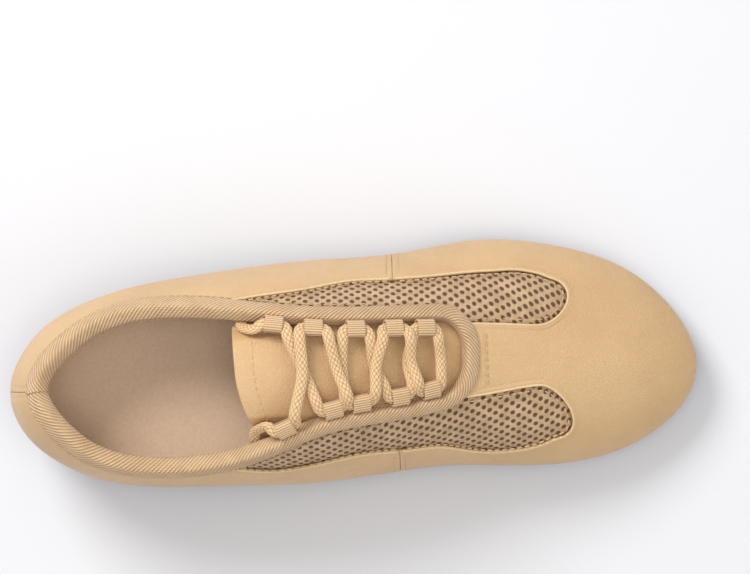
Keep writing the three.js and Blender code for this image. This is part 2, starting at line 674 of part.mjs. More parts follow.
// Under the binding the tongue hangs clear, lower at its rear edges, where the lace's ends
// pass over it; ahead of the binding it lies against the vamp lining.
function tongueOff(s, v) {
  const k = fromHeel(s);
  const rear = 2.4 * clamp01((0.76 - v) / 0.12) * clamp01((5.1 - k) / 0.5);
  const lowered = TONGUE_TOP - 0.7 * clamp01((1 - v) / 0.26) - rear;
  return mix(lowered, INNER_FACE - PLY_GAP, clamp01((k - 7.05) / 0.15));
}
const tongueRise = (s) => min(sideRise(s) - TONGUE_UNDERLAP, 0.72);
function tongueGrid(side, drop, thickness) {
  return TONGUE_STATIONS.map((k) => {
    const ahead = TONGUE_SKEW * (TONGUE_FRONT - k) / (TONGUE_FRONT - TONGUE_REAR);
    const low = tongueRise(onSide(side, k));
    return span(low, 1, 7).map((v) => {
      const skew = side === 'medial' ? ahead * min((1 - v) / 0.45, 1) : 0;
      const s = onSide(side, k + skew);
      const off = tongueOff(s, v) - drop;
      return { at: surface(s, v), top: pointAt(s, v, off), low: pointAt(s, v, off - thickness) };
    });
  });
}
function addTongue() {
  const sheets = (drop, thickness) => [
    tongueGrid('lateral', drop, thickness), tongueGrid('medial', drop, thickness).reverse(),
  ];
  addPiece('tongue', closeSheets(sheets(0, TONGUE_THICKNESS)), COLOURS.leather, 0.55);
  addPiece('tongue_lining', closeSheets(sheets(TONGUE_THICKNESS + PLY_GAP,
    TONGUE_LINING_THICKNESS)), COLOURS.lining, 0.9);
}

// ---- sole -------------------------------------------------------------------------------
const SHANK_REAR = 38;
const SHANK_FRONT = 142;
const ARCH_COVER_THICKNESS = 1.7;
const HEEL_BREAST = 3.6;       // station of the heel block's front edge
const FOREPART_REAR = 6.25;    // station of the forefoot sole's rear edge
const TOE_TAP_REAR = 7.75;
const HEEL_TAP_FRONT = 3.1;
const SOLE_INSET = 1.2;        // sole edge inside the guide line

function screwPlaces(which) {
  const rows = which === 'toe' ? [[0.835, 0.5], [0.835, -0.25], [0.94, 0.08]]
    : [[0.115, 0.38], [0.115, -0.36], [0.058, 0.02]];
  const width = which === 'toe' ? BALL_WIDTH : HEEL_WIDTH;
  return rows.map(([x, y]) => [x * SHOE_LENGTH, y * width / 2]);
}

const screwProfile = (grow) => [
  [0, 0.35 - grow * 3], [SCREW_HEAD_RADIUS + grow, 0.35 - grow * 3],
  [SCREW_HEAD_RADIUS + grow, 0.9], [SCREW_SHANK_RADIUS + grow, TAP_THICKNESS + grow],
  [SCREW_SHANK_RADIUS + grow, SCREW_LENGTH + grow], [0, SCREW_LENGTH + grow],
];
const screwHole = ([x, y]) => lathe(screwProfile(CLEAR), 16).translate(x, y, 0);

function addScrews(which) {
  screwPlaces(which).forEach(([x, y], i) => {
    const slot = new THREE.BoxGeometry(2 * SCREW_HEAD_RADIUS + 1, 0.9, 1.2);
    const screw = cut(lathe(screwProfile(0), 16), [slot.translate(0, 0, 0.35)]);
    addPiece(`${which}_tap_screw_${i + 1}`, screw.translate(x, y, 0), COLOURS.steel, 0.3, 1);
  });
}

function addHeel() {
  const holes = screwPlaces('heel').map(screwHole);
  const heelShift = (k, t) => -0.25 * sin(PI * t) * k / HEEL_BREAST;
  const base = TAP_THICKNESS + CLEAR;
  const stack = { from: 0, steps: 12, across: 6, shift: heelShift };
  const tapShift = (k, t) => -0.45 * sin(PI * t) * k / HEEL_TAP_FRONT;
  const tapShape = { ...stack, to: HEEL_TAP_FRONT, shift: tapShift };
  addPiece('heel_tap', cut(plate({
    ...tapShape, top: () => TAP_THICKNESS, low: () => 0, inset: 3.2, lowInset: 4.4,
  }), holes), COLOURS.tap, 0.3, 1);
  addPiece('heel_tap_board', cut(plate({
    ...tapShape, top: () => base + TAP_BOARD_THICKNESS, low: () => base, inset: 3,
  }), holes), COLOURS.board, 0.8);
  const shankSlot = new THREE.BoxGeometry(SHANK_FRONT - SHANK_REAR + 2 * CLEAR,
    SHANK_WIDTH + 2 * CLEAR, 4 * (SHANK_THICKNESS + CLEAR) + 2 * ARCH_COVER_THICKNESS);
  shankSlot.translate((SHANK_FRONT + SHANK_REAR) / 2, 0, HEEL_HEIGHT - CLEAR);
  const block = plate({
    ...stack, to: HEEL_BREAST, top: (s) => featherZ(s) - CLEAR,
    low: () => base + TAP_BOARD_THICKNESS + CLEAR, inset: FEATHER_TUCK - 0.4, lowInset: 2.8,
  });
  addPiece('heel_block', cut(block, [...holes, shankSlot]), COLOURS.sole, 0.6);
}

function addForepart() {
  const holes = screwPlaces('toe').map(screwHole);
  const base = TAP_THICKNESS + CLEAR;
  const arc = (from, depth) => (k, t) => (
    depth * sin(PI * t) * max(0, 1 - (k - from) / (TOE - from)) ** 2);
  const tapShape = { from: TOE_TAP_REAR, to: TOE, steps: 12, across: 6,
    shift: arc(TOE_TAP_REAR, 0.3) };
  addPiece('toe_tap', cut(plate({
    ...tapShape, top: () => TAP_THICKNESS, low: () => 0, inset: 3.4, lowInset: 4.6,
  }), holes), COLOURS.tap, 0.3, 1);
  addPiece('toe_tap_board', cut(plate({
    ...tapShape, top: () => base + TAP_BOARD_THICKNESS, low: () => base, inset: 3.2,
  }), holes), COLOURS.board, 0.8);
  addPiece('forefoot_outsole', cut(plate({
    from: FOREPART_REAR, to: TOE, steps: 16, across: 6, shift: arc(FOREPART_REAR, -0.25),
    top: (s) => featherZ(s) - CLEAR, low: () => base + TAP_BOARD_THICKNESS + CLEAR,
    inset: SOLE_INSET, lowInset: SOLE_INSET + 0.8,
  }), holes), COLOURS.sole, 0.6);
}

function addArch() {
  const top = (s) => featherZ(s) - 2 * CLEAR - SHANK_THICKNESS - CLEAR;
  addPiece('arch_cover', plate({
    from: HEEL_BREAST + 0.03, to: FOREPART_REAR - 0.03, steps: 10, across: 6,
    shift: (k, t) => -0.25 * sin(PI * t), top, low: (s) => top(s) - ARCH_COVER_THICKNESS,
    inset: FEATHER_TUCK, lowInset: FEATHER_TUCK + 1,
  }), COLOURS.leather, 0.6);
  const level = span(SHANK_REAR, SHANK_FRONT, 12).map((x) => {
    const s = span(2.5, 6.5, 400).find((k) => widestX(k) >= x);
    return [x, featherZ(s)];
  });
  const outline = new THREE.Shape();
  const bottom = (z) => z - 2 * CLEAR - SHANK_THICKNESS;
  outline.moveTo(level[0][0], bottom(level[0][1]));
  for (const [x, z] of level.slice(1)) outline.lineTo(x, bottom(z));
  for (const [x, z] of [...level].reverse()) outline.lineTo(x, bottom(z) + SHANK_THICKNESS);
  const shank = new THREE.ExtrudeGeometry(outline, { depth: SHANK_WIDTH, bevelEnabled: false });
  shank.rotateX(PI / 2).translate(0, SHANK_WIDTH / 2, 0);
  addPiece('shank', shank, COLOURS.steel, 0.4, 0.9);
}

const INSOLE_EDGE = 1.2;       // between the insole's edge and the lining beside it
const boardTop = (s) => featherZ(s) + CLEAR + INSOLE_BOARD_THICKNESS;
const insoleTop = (s) => boardTop(s) + CLEAR + INSOLE_THICKNESS;
// how far inside the widest line an insole of that height clears the lining
function insoleInset(s) {
  const level = span(0, 0.6, 60).map((v) => pointAt(s, v, INNER_FACE))
    .find((p) => p.z > insoleTop(s) + CLEAR);
  const [nx, ny] = planNormal(s);
  const reached = (widestX(s) - level.x) * nx + (widestY(s) - level.y) * ny;
  return max(FEATHER_TUCK - INNER_FACE, reached) + INSOLE_EDGE;
}
function addInsoles() {
  const shape = { from: 0, to: TOE, steps: 24, across: 4, inset: insoleInset };
  addPiece('insole_board', plate({
    ...shape, top: boardTop, low: (s) => featherZ(s) + CLEAR,
  }), COLOURS.board, 0.8);
  addPiece('insole', plate({
    ...shape, top: insoleTop, low: (s) => boardTop(s) + CLEAR,
  }), COLOURS.insole, 0.9);
}

// ---- assembly ---------------------------------------------------------------------------
for (const side of ['lateral', 'medial']) {
  addQuarter(side);
  addMeshPanel(side);
  for (const index of range(LOOP_STATIONS[side].length)) addLoop(side, index);
  addAglet(side);
}
addVamp();
addStiffeners();
addLinings();
addBinding();
addLace();
addTongue();
addHeel();
addScrews('heel');
addForepart();
addScrews('toe');
addArch();
addInsoles();

// origin under the middle of the whole shoe
const box = new THREE.Box3().setFromObject(group);
const middle = box.getCenter(new THREE.Vector3());
group.position.set(-middle.x, -middle.y, -box.min.z);

export default group;
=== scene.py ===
"""Looks for a left lace-up tap shoe: every soft piece is a numpy surface on one last."""

import math

import bmesh
import bpy
import numpy as np
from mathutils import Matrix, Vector


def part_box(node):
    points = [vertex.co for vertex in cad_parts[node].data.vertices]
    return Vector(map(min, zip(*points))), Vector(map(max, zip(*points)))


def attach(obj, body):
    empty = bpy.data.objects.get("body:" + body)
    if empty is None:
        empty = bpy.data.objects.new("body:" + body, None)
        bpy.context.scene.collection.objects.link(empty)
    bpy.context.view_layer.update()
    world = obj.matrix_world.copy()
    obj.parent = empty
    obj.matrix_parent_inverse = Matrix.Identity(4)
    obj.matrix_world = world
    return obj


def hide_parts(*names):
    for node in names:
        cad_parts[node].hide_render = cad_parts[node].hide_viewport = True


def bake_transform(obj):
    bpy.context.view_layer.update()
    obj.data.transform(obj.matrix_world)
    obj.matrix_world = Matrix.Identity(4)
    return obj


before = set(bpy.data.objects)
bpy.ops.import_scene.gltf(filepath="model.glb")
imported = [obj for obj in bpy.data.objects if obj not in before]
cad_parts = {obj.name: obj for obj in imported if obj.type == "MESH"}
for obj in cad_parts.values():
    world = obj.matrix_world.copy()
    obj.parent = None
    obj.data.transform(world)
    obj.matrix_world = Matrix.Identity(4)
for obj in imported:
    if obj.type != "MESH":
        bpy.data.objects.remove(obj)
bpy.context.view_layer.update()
MM = 0.001

# ---- the last, in millimetres from the heel back, as the model's own guide lines ----
SHOE_LENGTH, HEEL_WIDTH, BALL_WIDTH = 257, 74, 87
HEEL_HEIGHT, BALL_HEIGHT, TOE_SPRING = 24, 9.5, 3.5
UPPER_DEPTH, TOE_DEPTH, FEATHER_TUCK = 60, 29.5, 2.2
FULLNESS, TUCK_RISE = 0.87, 2 / 9
TOE, AROUND = 10, 20
LEATHER, MESH, LINING, PLY_GAP = 1.2, 0.8, 0.8, 0.6
MID_PLY = -(LEATHER + PLY_GAP)
LINING_PLY = MID_PLY - MESH - PLY_GAP
INNER_FACE = LINING_PLY - LINING
THROAT_CORNER, THROAT_FRONT = 6.55, 7
SHANK_REAR = 38

WIDEST = np.array([
    [0, 0, 0, 0, 0], [0.0165, 0.346, 0.0125, -0.355, 0], [0.0667, 0.713, 0.057, -0.693, 0],
    [0.1686, 0.994, 0.157, -0.986, 0], [0.306, 1.068, 0.306, -0.992, 0.35],
    [0.439, 1.096, 0.439, -0.965, 0.6], [0.561, 1.09, 0.561, -0.869, 0.8],
    [0.6745, 1.148, 0.663, -0.824, 1], [0.8, 1.069, 0.788, -0.848, 1],
    [0.9255, 0.729, 0.9216, -0.633, 1], [0.9976, -0.014, 0.9976, -0.014, 1]])
CROWN = np.array([
    [0.1765, 0.03, 1, 0, 0], [0.1784, 0.03, 1, 0, 0], [0.1863, 0.03, 1, 0, 0],
    [0.2196, 0.04, 1.025, 0, 0], [0.3176, 0.053, 1.108, 0, 0], [0.4392, 0.077, 1.142, 0, 0],
    [0.5569, 0.118, 1.02, 0, 0], [0.6588, 0.143, 0.817, 0, 0],
    [0.749, 0.133, 0, 1.339, 0.135], [0.8, 0.1, 0, 1.153, 0.44], [0.8196, 0.071, 0, 1, 0.576]])
FEATHER = np.array([[1, 0], [1, 0], [1, 0], [0.966, 0], [0.69, 0], [0.276, 0], [0.055, 0],
                    [0, 0], [0, 0], [0, 0.286], [0, 1]])
TOPLINE_LATERAL = [0.55, 0.55, 0.548, 0.487, 0.585, 0.708, 0.755, 0.805, 0.82, 0.83, 0.83]
TOPLINE_MEDIAL = [0.55, 0.575, 0.55, 0.462, 0.5, 0.728, 0.775, 0.82, 0.82, 0.83, 0.83]
WINDOW = {
    "lateral": ([[3.9, 0.56], [4.3, 0.535], [4.94, 0.515], [5.46, 0.472], [5.92, 0.485],
                 [6.58, 0.523], [7.2, 0.53], [7.6, 0.517], [8.0, 0.565], [8.3, 0.72]],
                [[6.8, 0.85], [7.4, 0.862], [8.0, 0.86], [8.2, 0.82], [8.3, 0.72]]),
    "medial": ([[3.9, 0.485], [4.2, 0.43], [4.56, 0.405], [5.44, 0.488], [6.11, 0.467],
                [6.53, 0.462], [7.13, 0.385], [7.69, 0.425], [8.1, 0.538], [8.34, 0.7]],
               [[6.8, 0.81], [7.1, 0.82], [8.05, 0.865], [8.25, 0.81], [8.34, 0.7]])}
LOOP_STATIONS = {"lateral": [4.62, 5.03, 5.49, 5.94, 6.35],
                 "medial": [4.74, 5.23, 5.53, 6.0, 6.43]}
SIDES = ("lateral", "medial")


def together(*arrays):
    return np.broadcast_arrays(*(np.asarray(a, float) for a in arrays))


def arc_along(points):
    """Distance from the first point to each one."""
    return np.r_[0, np.cumsum(np.linalg.norm(np.diff(points, axis=0), axis=1))]


def softened(c, power):
    """A cosine or sine drawn towards a squarer curve."""
    return np.sign(c) * np.abs(c) ** power


def turn_round(count):
    return np.linspace(0, 2 * math.pi, count, endpoint=False)


def share_of(x, start, length):
    return np.clip((x - start) / length, 0, 1)


def ring_spline(values):
    """Closed cubic B-spline through one value per station."""
    values = np.asarray(values, float)
    n = len(values)
    band = 4 * np.eye(n) + np.roll(np.eye(n), 1, 0) + np.roll(np.eye(n), -1, 0)
    knots = np.linalg.solve(band / 6, values)

    def curve(s):
        s = np.asarray(s, float)
        i = np.floor(s).astype(int)
        w = s - i
        knot = lambda k: knots[(i + k) % n]
        return (knot(-1) * (1 - w) ** 3 + knot(0) * (3 * w ** 3 - 6 * w ** 2 + 4)
                + knot(1) * (-3 * w ** 3 + 3 * w ** 2 + 3 * w + 1) + knot(2) * w ** 3) / 6
    return curve


def ring(lateral, medial=None):
    medial = lateral if medial is None else medial
    return np.concatenate([lateral, np.asarray(medial)[-2:0:-1]])


half = (HEEL_WIDTH + (BALL_WIDTH - HEEL_WIDTH) * WIDEST[:, 4]) / 2
widest_x = ring_spline(ring(WIDEST[:, 0], WIDEST[:, 2]) * SHOE_LENGTH)
widest_y = ring_spline(ring(WIDEST[:, 1] * half, WIDEST[:, 3] * half))
feather_z = ring_spline(ring(BALL_HEIGHT + (HEEL_HEIGHT - BALL_HEIGHT) * FEATHER[:, 0]
                             + TOE_SPRING * FEATHER[:, 1]))
crown_x = ring_spline(ring(CROWN[:, 0]) * SHOE_LENGTH)
crown_y = ring_spline(ring(CROWN[:, 1]) * BALL_WIDTH / 2)
crown_rise = ring_spline(ring(CROWN[:, 2] * UPPER_DEPTH + CROWN[:, 3] * TOE_DEPTH))
crown_lean = ring_spline(ring(CROWN[:, 4]) * TOE_DEPTH)
side_rise = ring_spline(ring(TOPLINE_LATERAL, TOPLINE_MEDIAL))


def from_heel(s):
    s = np.mod(s, AROUND)
    return np.minimum(s, AROUND - s)


def on_side(side, k):
    return np.asarray(k, float) if side == "lateral" else AROUND - np.asarray(k, float)


def plan_normal(s):
    step = 1e-3
    tx = widest_x(s + step) - widest_x(s - step)
    ty = widest_y(s + step) - widest_y(s - step)
    size = np.hypot(tx, ty)
    return -ty / size, tx / size


def surface(s, v):
    """Quarter superellipse from the widest line up to the crown line, tucked in at the sole."""
    s, v = together(s, v)
    angle = v * math.pi / 2
    c, up = softened(np.cos(angle), FULLNESS), softened(np.sin(angle), FULLNESS)
    nx, ny = plan_normal(s)
    tuck = FEATHER_TUCK * np.clip(1 - v / TUCK_RISE, 0, None) ** 2
    x = crown_x(s) + (widest_x(s) - crown_x(s)) * c - nx * tuck
    y = crown_y(s) + (widest_y(s) - crown_y(s)) * c - ny * tuck
    z = feather_z(s) + crown_lean(s) * (1 - c) + (crown_rise(s) - crown_lean(s)) * up
    return np.stack([x, y, z], -1)


def slopes(s, v):
    step = 1e-3
    v = np.maximum(v, 2 * step)
    along = (surface(s + step, v) - surface(s - step, v)) / (2 * step)
    rise = (surface(s, v + step) - surface(s, v - step)) / (2 * step)
    return along, rise


def unit(a):
    return a / np.maximum(np.linalg.norm(a, axis=-1, keepdims=True), 1e-12)


def normal_at(s, v):
    s, v = together(s, v)
    limit = 1 - 0.05 * np.clip(from_heel(s) - 7.5, 0, 1) - 0.002
    along, rise = slopes(s, np.where(v > 1, v, np.minimum(v, limit)))
    return unit(np.cross(rise, along))


def point_at(s, v, off=0.0):
    s, v, off = together(s, v, off)
    return surface(s, v) + normal_at(s, v) * off[..., None]


def topline(s):
    """Edge of the opening: up the side, then a quarter ellipse round the throat corner."""
    k, side = from_heel(s), side_rise(s)
    t = share_of(k, THROAT_CORNER, THROAT_FRONT - THROAT_CORNER)
    return np.where(k >= THROAT_FRONT, 1, side + (1 - side) * (1 - np.sqrt(1 - t * t)))


def through(points, s):
    """Cubic Hermite curve through [station, value] pairs with central slopes."""
    p = np.asarray(points, float)
    lo, hi = np.r_[0, 0:len(p) - 1], np.r_[1:len(p), len(p) - 1]
    slope = (p[hi, 1] - p[lo, 1]) / (p[hi, 0] - p[lo, 0])
    s = np.clip(s, p[0, 0], p[-1, 0])
    i = np.clip(np.searchsorted(p[:, 0], s, side="right") - 1, 0, len(p) - 2)
    h = p[i + 1, 0] - p[i, 0]
    t = (s - p[i, 0]) / h
    return (p[i, 1] * (1 + 2 * t) * (1 - t) ** 2 + slope[i] * h * t * (1 - t) ** 2
            + p[i + 1, 1] * t * t * (3 - 2 * t) + slope[i + 1] * h * t * t * (t - 1))


TIP = {side: WINDOW[side][0][-1][0] for side in SIDES}
ROUND_FROM = {"lateral": 7.95, "medial": 8.0}
TOE_RISE = 0.71


def window_edge(side, s, which):
    """Rise of a window's edge; past its tip both edges run together to the toe."""
    k, pairs, top = from_heel(s), WINDOW[side][which], topline(s)
    rise = through(pairs, k)
    start, end = through(pairs, ROUND_FROM[side]), pairs[-1][1]
    turn = share_of(k, ROUND_FROM[side], TIP[side] - ROUND_FROM[side])
    rise = np.where(turn > 0, start + (end - start) * (1 - np.sqrt(1 - turn ** 2)), rise)
    ahead = share_of(k, TIP[side], TOE - TIP[side])
    rise = rise + (TOE_RISE - rise) * ahead
    return np.where(k <= pairs[0][0], top, np.minimum(rise, top))


def window_low(side, s):
    return window_edge(side, s, 0)


def window_high(side, s):
    return window_edge(side, s, 1)


# ---- meshes ----
shank_low, shank_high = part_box("shank")
SHIFT = np.array([shank_low[0] / MM - SHANK_REAR, (shank_low[1] + shank_high[1]) / 2 / MM, 0])


def in_scene(name, data):
    obj = bpy.data.objects.new(name, data)
    bpy.context.scene.collection.objects.link(obj)
    return obj


def make_object(name, points, faces, uvs=None):
    """A mesh object at the origin from points in the last's millimetres."""
    mesh = bpy.data.meshes.new(name)
    places = (np.asarray(points) + SHIFT) * MM
    mesh.from_pydata(places.reshape(-1, 3).tolist(), [], [list(f) for f in faces])
    if uvs is not None:
        layer = mesh.uv_layers.new(name="UVMap")
        index = np.empty(len(mesh.loops), int)
        mesh.loops.foreach_get("vertex_index", index)
        layer.data.foreach_set("uv", np.asarray(uvs, float).reshape(-1, 2)[index].ravel())
    mesh.validate()
    mesh.polygons.foreach_set("use_smooth", np.ones(len(mesh.polygons), bool))
    return in_scene(name, mesh)


def grid_faces(n, m, closed_n=False, closed_m=False, mask=None):
    i, j = np.meshgrid(np.arange(n if closed_n else n - 1),
                       np.arange(m if closed_m else m - 1), indexing="ij")
    if mask is not None:
        i, j = i[mask], j[mask]
    a, b = i * m + j, i * m + (j + 1) % m
    c, d = (i + 1) % n * m + (j + 1) % m, (i + 1) % n * m + j
    return np.stack([a, b, c, d], -1).reshape(-1, 4)


def closed_from_sheets(name, sheets):
    """Closed solid from sheets of (corner, top, low, mask, uv) grids.

    Corners at one place become one point, halfway between their tops; every edge that only
    one triangle uses gets a wall from the top face down to the low one.
    """
    corners = np.concatenate([sheet[0].reshape(-1, 3) for sheet in sheets])
    _, ids = np.unique(np.round(corners * 500).astype(int), axis=0, return_inverse=True)
    ids = ids.ravel()
    n = ids.max() + 1
    share = np.bincount(ids, minlength=n)[:, None]

    def merged(k, width):
        out = np.zeros((n, width))
        np.add.at(out, ids, np.concatenate([sheet[k].reshape(-1, width) for sheet in sheets]))
        return out / share
    tops, lows, uvs = merged(1, 3), merged(2, 3), merged(4, 2)
    quads, base = [], 0
    for corner, *_, mask, _ in sheets:
        quads.append(grid_faces(*corner.shape[:2], mask=mask) + base)
        base += corner.shape[0] * corner.shape[1]
    quads = ids[np.concatenate(quads)]
    tri = np.concatenate([quads[:, [0, 1, 2]], quads[:, [0, 2, 3]]])
    tri = tri[(tri[:, 0] != tri[:, 1]) & (tri[:, 1] != tri[:, 2]) & (tri[:, 2] != tri[:, 0])]
    edges = np.concatenate([tri[:, [0, 1]], tri[:, [1, 2]], tri[:, [2, 0]]])
    rim = edges[~np.isin(edges[:, 0] * n + edges[:, 1], edges[:, 1] * n + edges[:, 0])]
    a, b = rim.T
    walls = np.concatenate([np.stack([b, a, a + n], -1), np.stack([b, a + n, b + n], -1)])
    faces = np.concatenate([tri, tri[:, ::-1] + n, walls])
    return make_object(name, np.concatenate([tops, lows]), faces, np.concatenate([uvs, uvs]))


def ply(s, v, top, low, mask=None):
    """A sheet of the upper: stations by rises, between two heights over the last."""
    s, v = together(s, v)
    corner, normal = surface(s, v), normal_at(s, v)
    steps = np.linalg.norm(np.diff(corner, axis=1), axis=-1)
    first = surface(s[:, :1], v[:, :1] * np.linspace(0, 1, 16)[None])
    start = np.linalg.norm(np.diff(first, axis=1), axis=-1).sum(1, keepdims=True)
    girth = start + np.concatenate([np.zeros((len(s), 1)), np.cumsum(steps, 1)], 1)
    uv = np.stack([corner[..., 0], girth], -1)
    height = lambda h: np.broadcast_to(np.asarray(h, float), s.shape)[..., None]
    return corner, corner + normal * height(top), corner + normal * height(low), mask, uv


def spread(count, length, ends=(0.0, 0.1, 0.25, 0.45, 0.7, 1.0, 1.4, 1.9, 2.5)):
    """Shares of a length: even in the middle, fine over the first and last millimetres."""
    ends = np.array(ends) / length
    return np.concatenate([ends, np.linspace(ends[-1], 1 - ends[-1], count + 2)[1:-1],
                           1 - ends[::-1]])


def rounded(distance, radius=0.55):
    """How far a face falls near a free edge: a quarter circle of that radius."""
    d = np.clip(radius - distance, 0, radius)
    return -(radius - np.sqrt(radius ** 2 - d ** 2))


def groove(distance, at, depth=0.16, width=0.42):
    """A line pressed in at that distance, or raised where the depth is below zero."""
    return -depth * np.exp(-((distance - at) / width) ** 2)


def swept(name, points, closed=False, uvs=None):
    """Rings of points joined into a tube, with arc lengths in millimetres as its UVs."""
    n, m = points.shape[:2]
    if uvs is None:
        uvs = np.stack(np.meshgrid(arc_along(points.mean(1)), arc_along(points[0]),
                                   indexing="ij"), -1)
    faces = grid_faces(n, m, closed, True).tolist()
    if not closed:
        faces += [list(range(m))[::-1], list(range((n - 1) * m, n * m))]
    return outward(make_object(name, points.reshape(-1, 3), faces, uvs))


def outward(obj):
    bm = bmesh.new()
    bm.from_mesh(obj.data)
    bmesh.ops.recalc_face_normals(bm, faces=bm.faces)
    bm.to_mesh(obj.data)
    bm.free()
    return obj


def applied(obj, kind, **settings):
    """The object with one modifier made part of its mesh."""
    modifier = obj.modifiers.new(kind, kind)
    for key, value in settings.items():
        setattr(modifier, key, value)
    bpy.context.view_layer.update()
    evaluated = obj.evaluated_get(bpy.context.evaluated_depsgraph_get())
    mesh = bpy.data.meshes.new_from_object(evaluated)
    obj.modifiers.clear()
    obj.data = mesh
    return obj


def smooth_path(points, per=8):
    """Centripetal Catmull-Rom curve through given rows of numbers."""
    p = np.asarray(points, float)
    p = np.concatenate([[2 * p[0] - p[1]], p, [2 * p[-1] - p[-2]]])
    gaps = np.linalg.norm(np.diff(p[:, :3], axis=0), axis=1)
    t = np.r_[0, np.cumsum(np.maximum(gaps, 1e-6) ** 0.5)]
    mixed = lambda i, j, u, a, b: (t[j] - u) / (t[j] - t[i]) * a + (u - t[i]) / (t[j] - t[i]) * b
    out = []
    for i in range(1, len(p) - 2):
        u = np.linspace(t[i], t[i + 1], per, endpoint=False)[:, None]
        a1, a2 = mixed(i - 1, i, u, p[i - 1], p[i]), mixed(i, i + 1, u, p[i], p[i + 1])
        a3 = mixed(i + 1, i + 2, u, p[i + 1], p[i + 2])
        out.append(mixed(i, i + 1, u, mixed(i - 1, i + 1, u, a1, a2),
                         mixed(i, i + 2, u, a2, a3)))
    return np.concatenate(out + [p[-2][None]])


def eased(line, count):
    """The line with its corners eased: a moving average, its ends kept."""
    kernel = np.ones(count) / count
    reach = count // 2
    padded = np.pad(line, ((reach, reach), (0, 0)), mode="edge")
    return np.stack([np.convolve(column, kernel, "valid") for column in padded.T], -1)


def resample(points, pitch):
    arc = arc_along(points[:, :3])
    at = np.linspace(0, arc[-1], max(int(arc[-1] / pitch), 2) + 1)
    return np.stack([np.interp(at, arc, column) for column in points.T], -1)


# ---- materials ----
def linear(r, g, b):
    """A colour given in screen values, 0 to 255, as the linear one that a shader takes."""
    c = np.array([r, g, b]) / 255
    return (*np.where(c <= 0.04045, c / 12.92, ((c + 0.055) / 1.055) ** 2.4).tolist(), 1.0)


class Finish:
    """One procedural material: a Principled surface and small helpers for its nodes."""

    def __init__(self, name, colour, roughness, metallic=0.0):
        self.mat = bpy.data.materials.new(name)
        self.mat.use_nodes = True
        self.tree = self.mat.node_tree
        self.bsdf = next(n for n in self.tree.nodes if n.type == "BSDF_PRINCIPLED")
        self.bsdf.inputs["Base Color"].default_value = colour
        self.bsdf.inputs["Roughness"].default_value = roughness
        self.bsdf.inputs["Metallic"].default_value = metallic
        self.coords = self.tree.nodes.new("ShaderNodeTexCoord")
        self.bump = None

    def put(self, socket, value):
        if isinstance(value, bpy.types.NodeSocket):
            self.tree.links.new(value, socket)
        else:
            socket.default_value = value

    def node(self, kind, *values, **named):
        """A node with its first sockets and its named ones given."""
        node = self.tree.nodes.new("ShaderNode" + kind)
        for socket, value in zip(node.inputs, values):
            self.put(socket, value)
        for key, value in named.items():
            self.put(node.inputs[key], value)
        return node

    def set(self, **values):
        for key, value in values.items():
            self.put(self.bsdf.inputs[key.replace("_", " ")], value)

    def maths(self, operation, *values):
        node = self.node("Math", *values)
        node.operation = operation
        return node.outputs[0]

    def times(self, a, b):
        return self.maths("MULTIPLY", a, b)

    def plus(self, a, b):
        return self.maths("ADD", a, b)

    def wave(self, a, pitch):
        return self.maths("SINE", self.times(a, 2 * math.pi / pitch))

    def noise(self, scale, detail=3.0, roughness=0.5, stretch=(1, 1, 1)):
        mapping = self.node("Mapping", Vector=self.coords.outputs["Object"], Scale=stretch)
        return self.node("TexNoise", Vector=mapping.outputs[0], Scale=scale, Detail=detail,
                         Roughness=roughness).outputs[0]

    def cells(self, scale):
        node = self.node("TexVoronoi", Vector=self.coords.outputs["Object"], Scale=scale)
        node.feature = "DISTANCE_TO_EDGE"
        return node.outputs["Distance"]

    def uv(self):
        return self.node("SeparateXYZ", self.coords.outputs["UV"]).outputs[:2]

    def ramp(self, value, low, high, to_low=0.0, to_high=1.0):
        node = self.node("MapRange", value, low, high, to_low, to_high)
        node.interpolation_type = "SMOOTHSTEP"
        return node.outputs[0]

    def blend(self, factor, a, b):
        node = self.node("Mix")
        node.data_type = "RGBA"
        for index, value in ((0, factor), (6, a), (7, b)):
            self.put(node.inputs[index], value)
        return node.outputs[2]

    # blends the dark colour into the main one by a tone: random dye, and in the woven pieces
    # painted shade in their hollows
    def dye_and_shade(self, tone, low, high, dark, colour, sheen=0.15):
        self.set(Base_Color=self.blend(self.ramp(tone, low, high), dark, colour),
                 Sheen_Weight=sheen)

    def relief(self, height, depth_mm):
        """Bumps of that depth, added over the ones before."""
        node = self.node("Bump", Strength=1.0, Distance=depth_mm * MM, Height=height)
        if self.bump is not None:
            self.put(node.inputs["Normal"], self.bump)
        self.bump = node.outputs[0]
        self.set(Normal=self.bump)


def leather(name, colour, dark, roughness=0.42, grain=0.10):
    """Fine grained leather: cells of about a millimetre, with cloudy dye."""
    f = Finish(name, colour, roughness)
    cloud = f.ramp(f.noise(28, 4), 0.35, 0.7)
    f.set(Base_Color=f.blend(f.times(cloud, 0.35), colour, dark))
    f.set(Roughness=f.ramp(f.noise(300, 2), 0.3, 0.7, roughness - 0.06, roughness + 0.08))
    f.relief(f.ramp(f.cells(1150), 0.0, 0.22), grain)
    f.relief(f.noise(900, 3), grain * 0.7)
    return f.mat


def cloth(name, colour, dark, roughness=0.9, pitch=0.55, depth=0.12):
    """Plain close cloth: two crossing sets of threads, unevenly dyed, with painted shade where the
    threads dip.
    """
    f = Finish(name, colour, roughness)
    u, v = f.uv()
    weave = f.times(f.wave(u, pitch), f.wave(v, pitch))
    tone = f.plus(f.times(f.noise(900, 3), 0.6), f.times(weave, 0.2))
    f.dye_and_shade(tone, 0.0, 0.6, dark, colour)
    f.relief(weave, depth)
    f.relief(f.noise(1400, 2), depth * 0.8)
    return f.mat


def suede(name, colour, dark):
    f = Finish(name, colour, 0.95)
    tone = f.plus(f.times(f.noise(60, 5), 0.25), f.times(f.noise(1600, 2), 0.75))
    f.dye_and_shade(tone, 0.38, 0.62, dark, colour, 0.3)
    f.relief(f.noise(2200, 3), 0.12)
    return f.mat


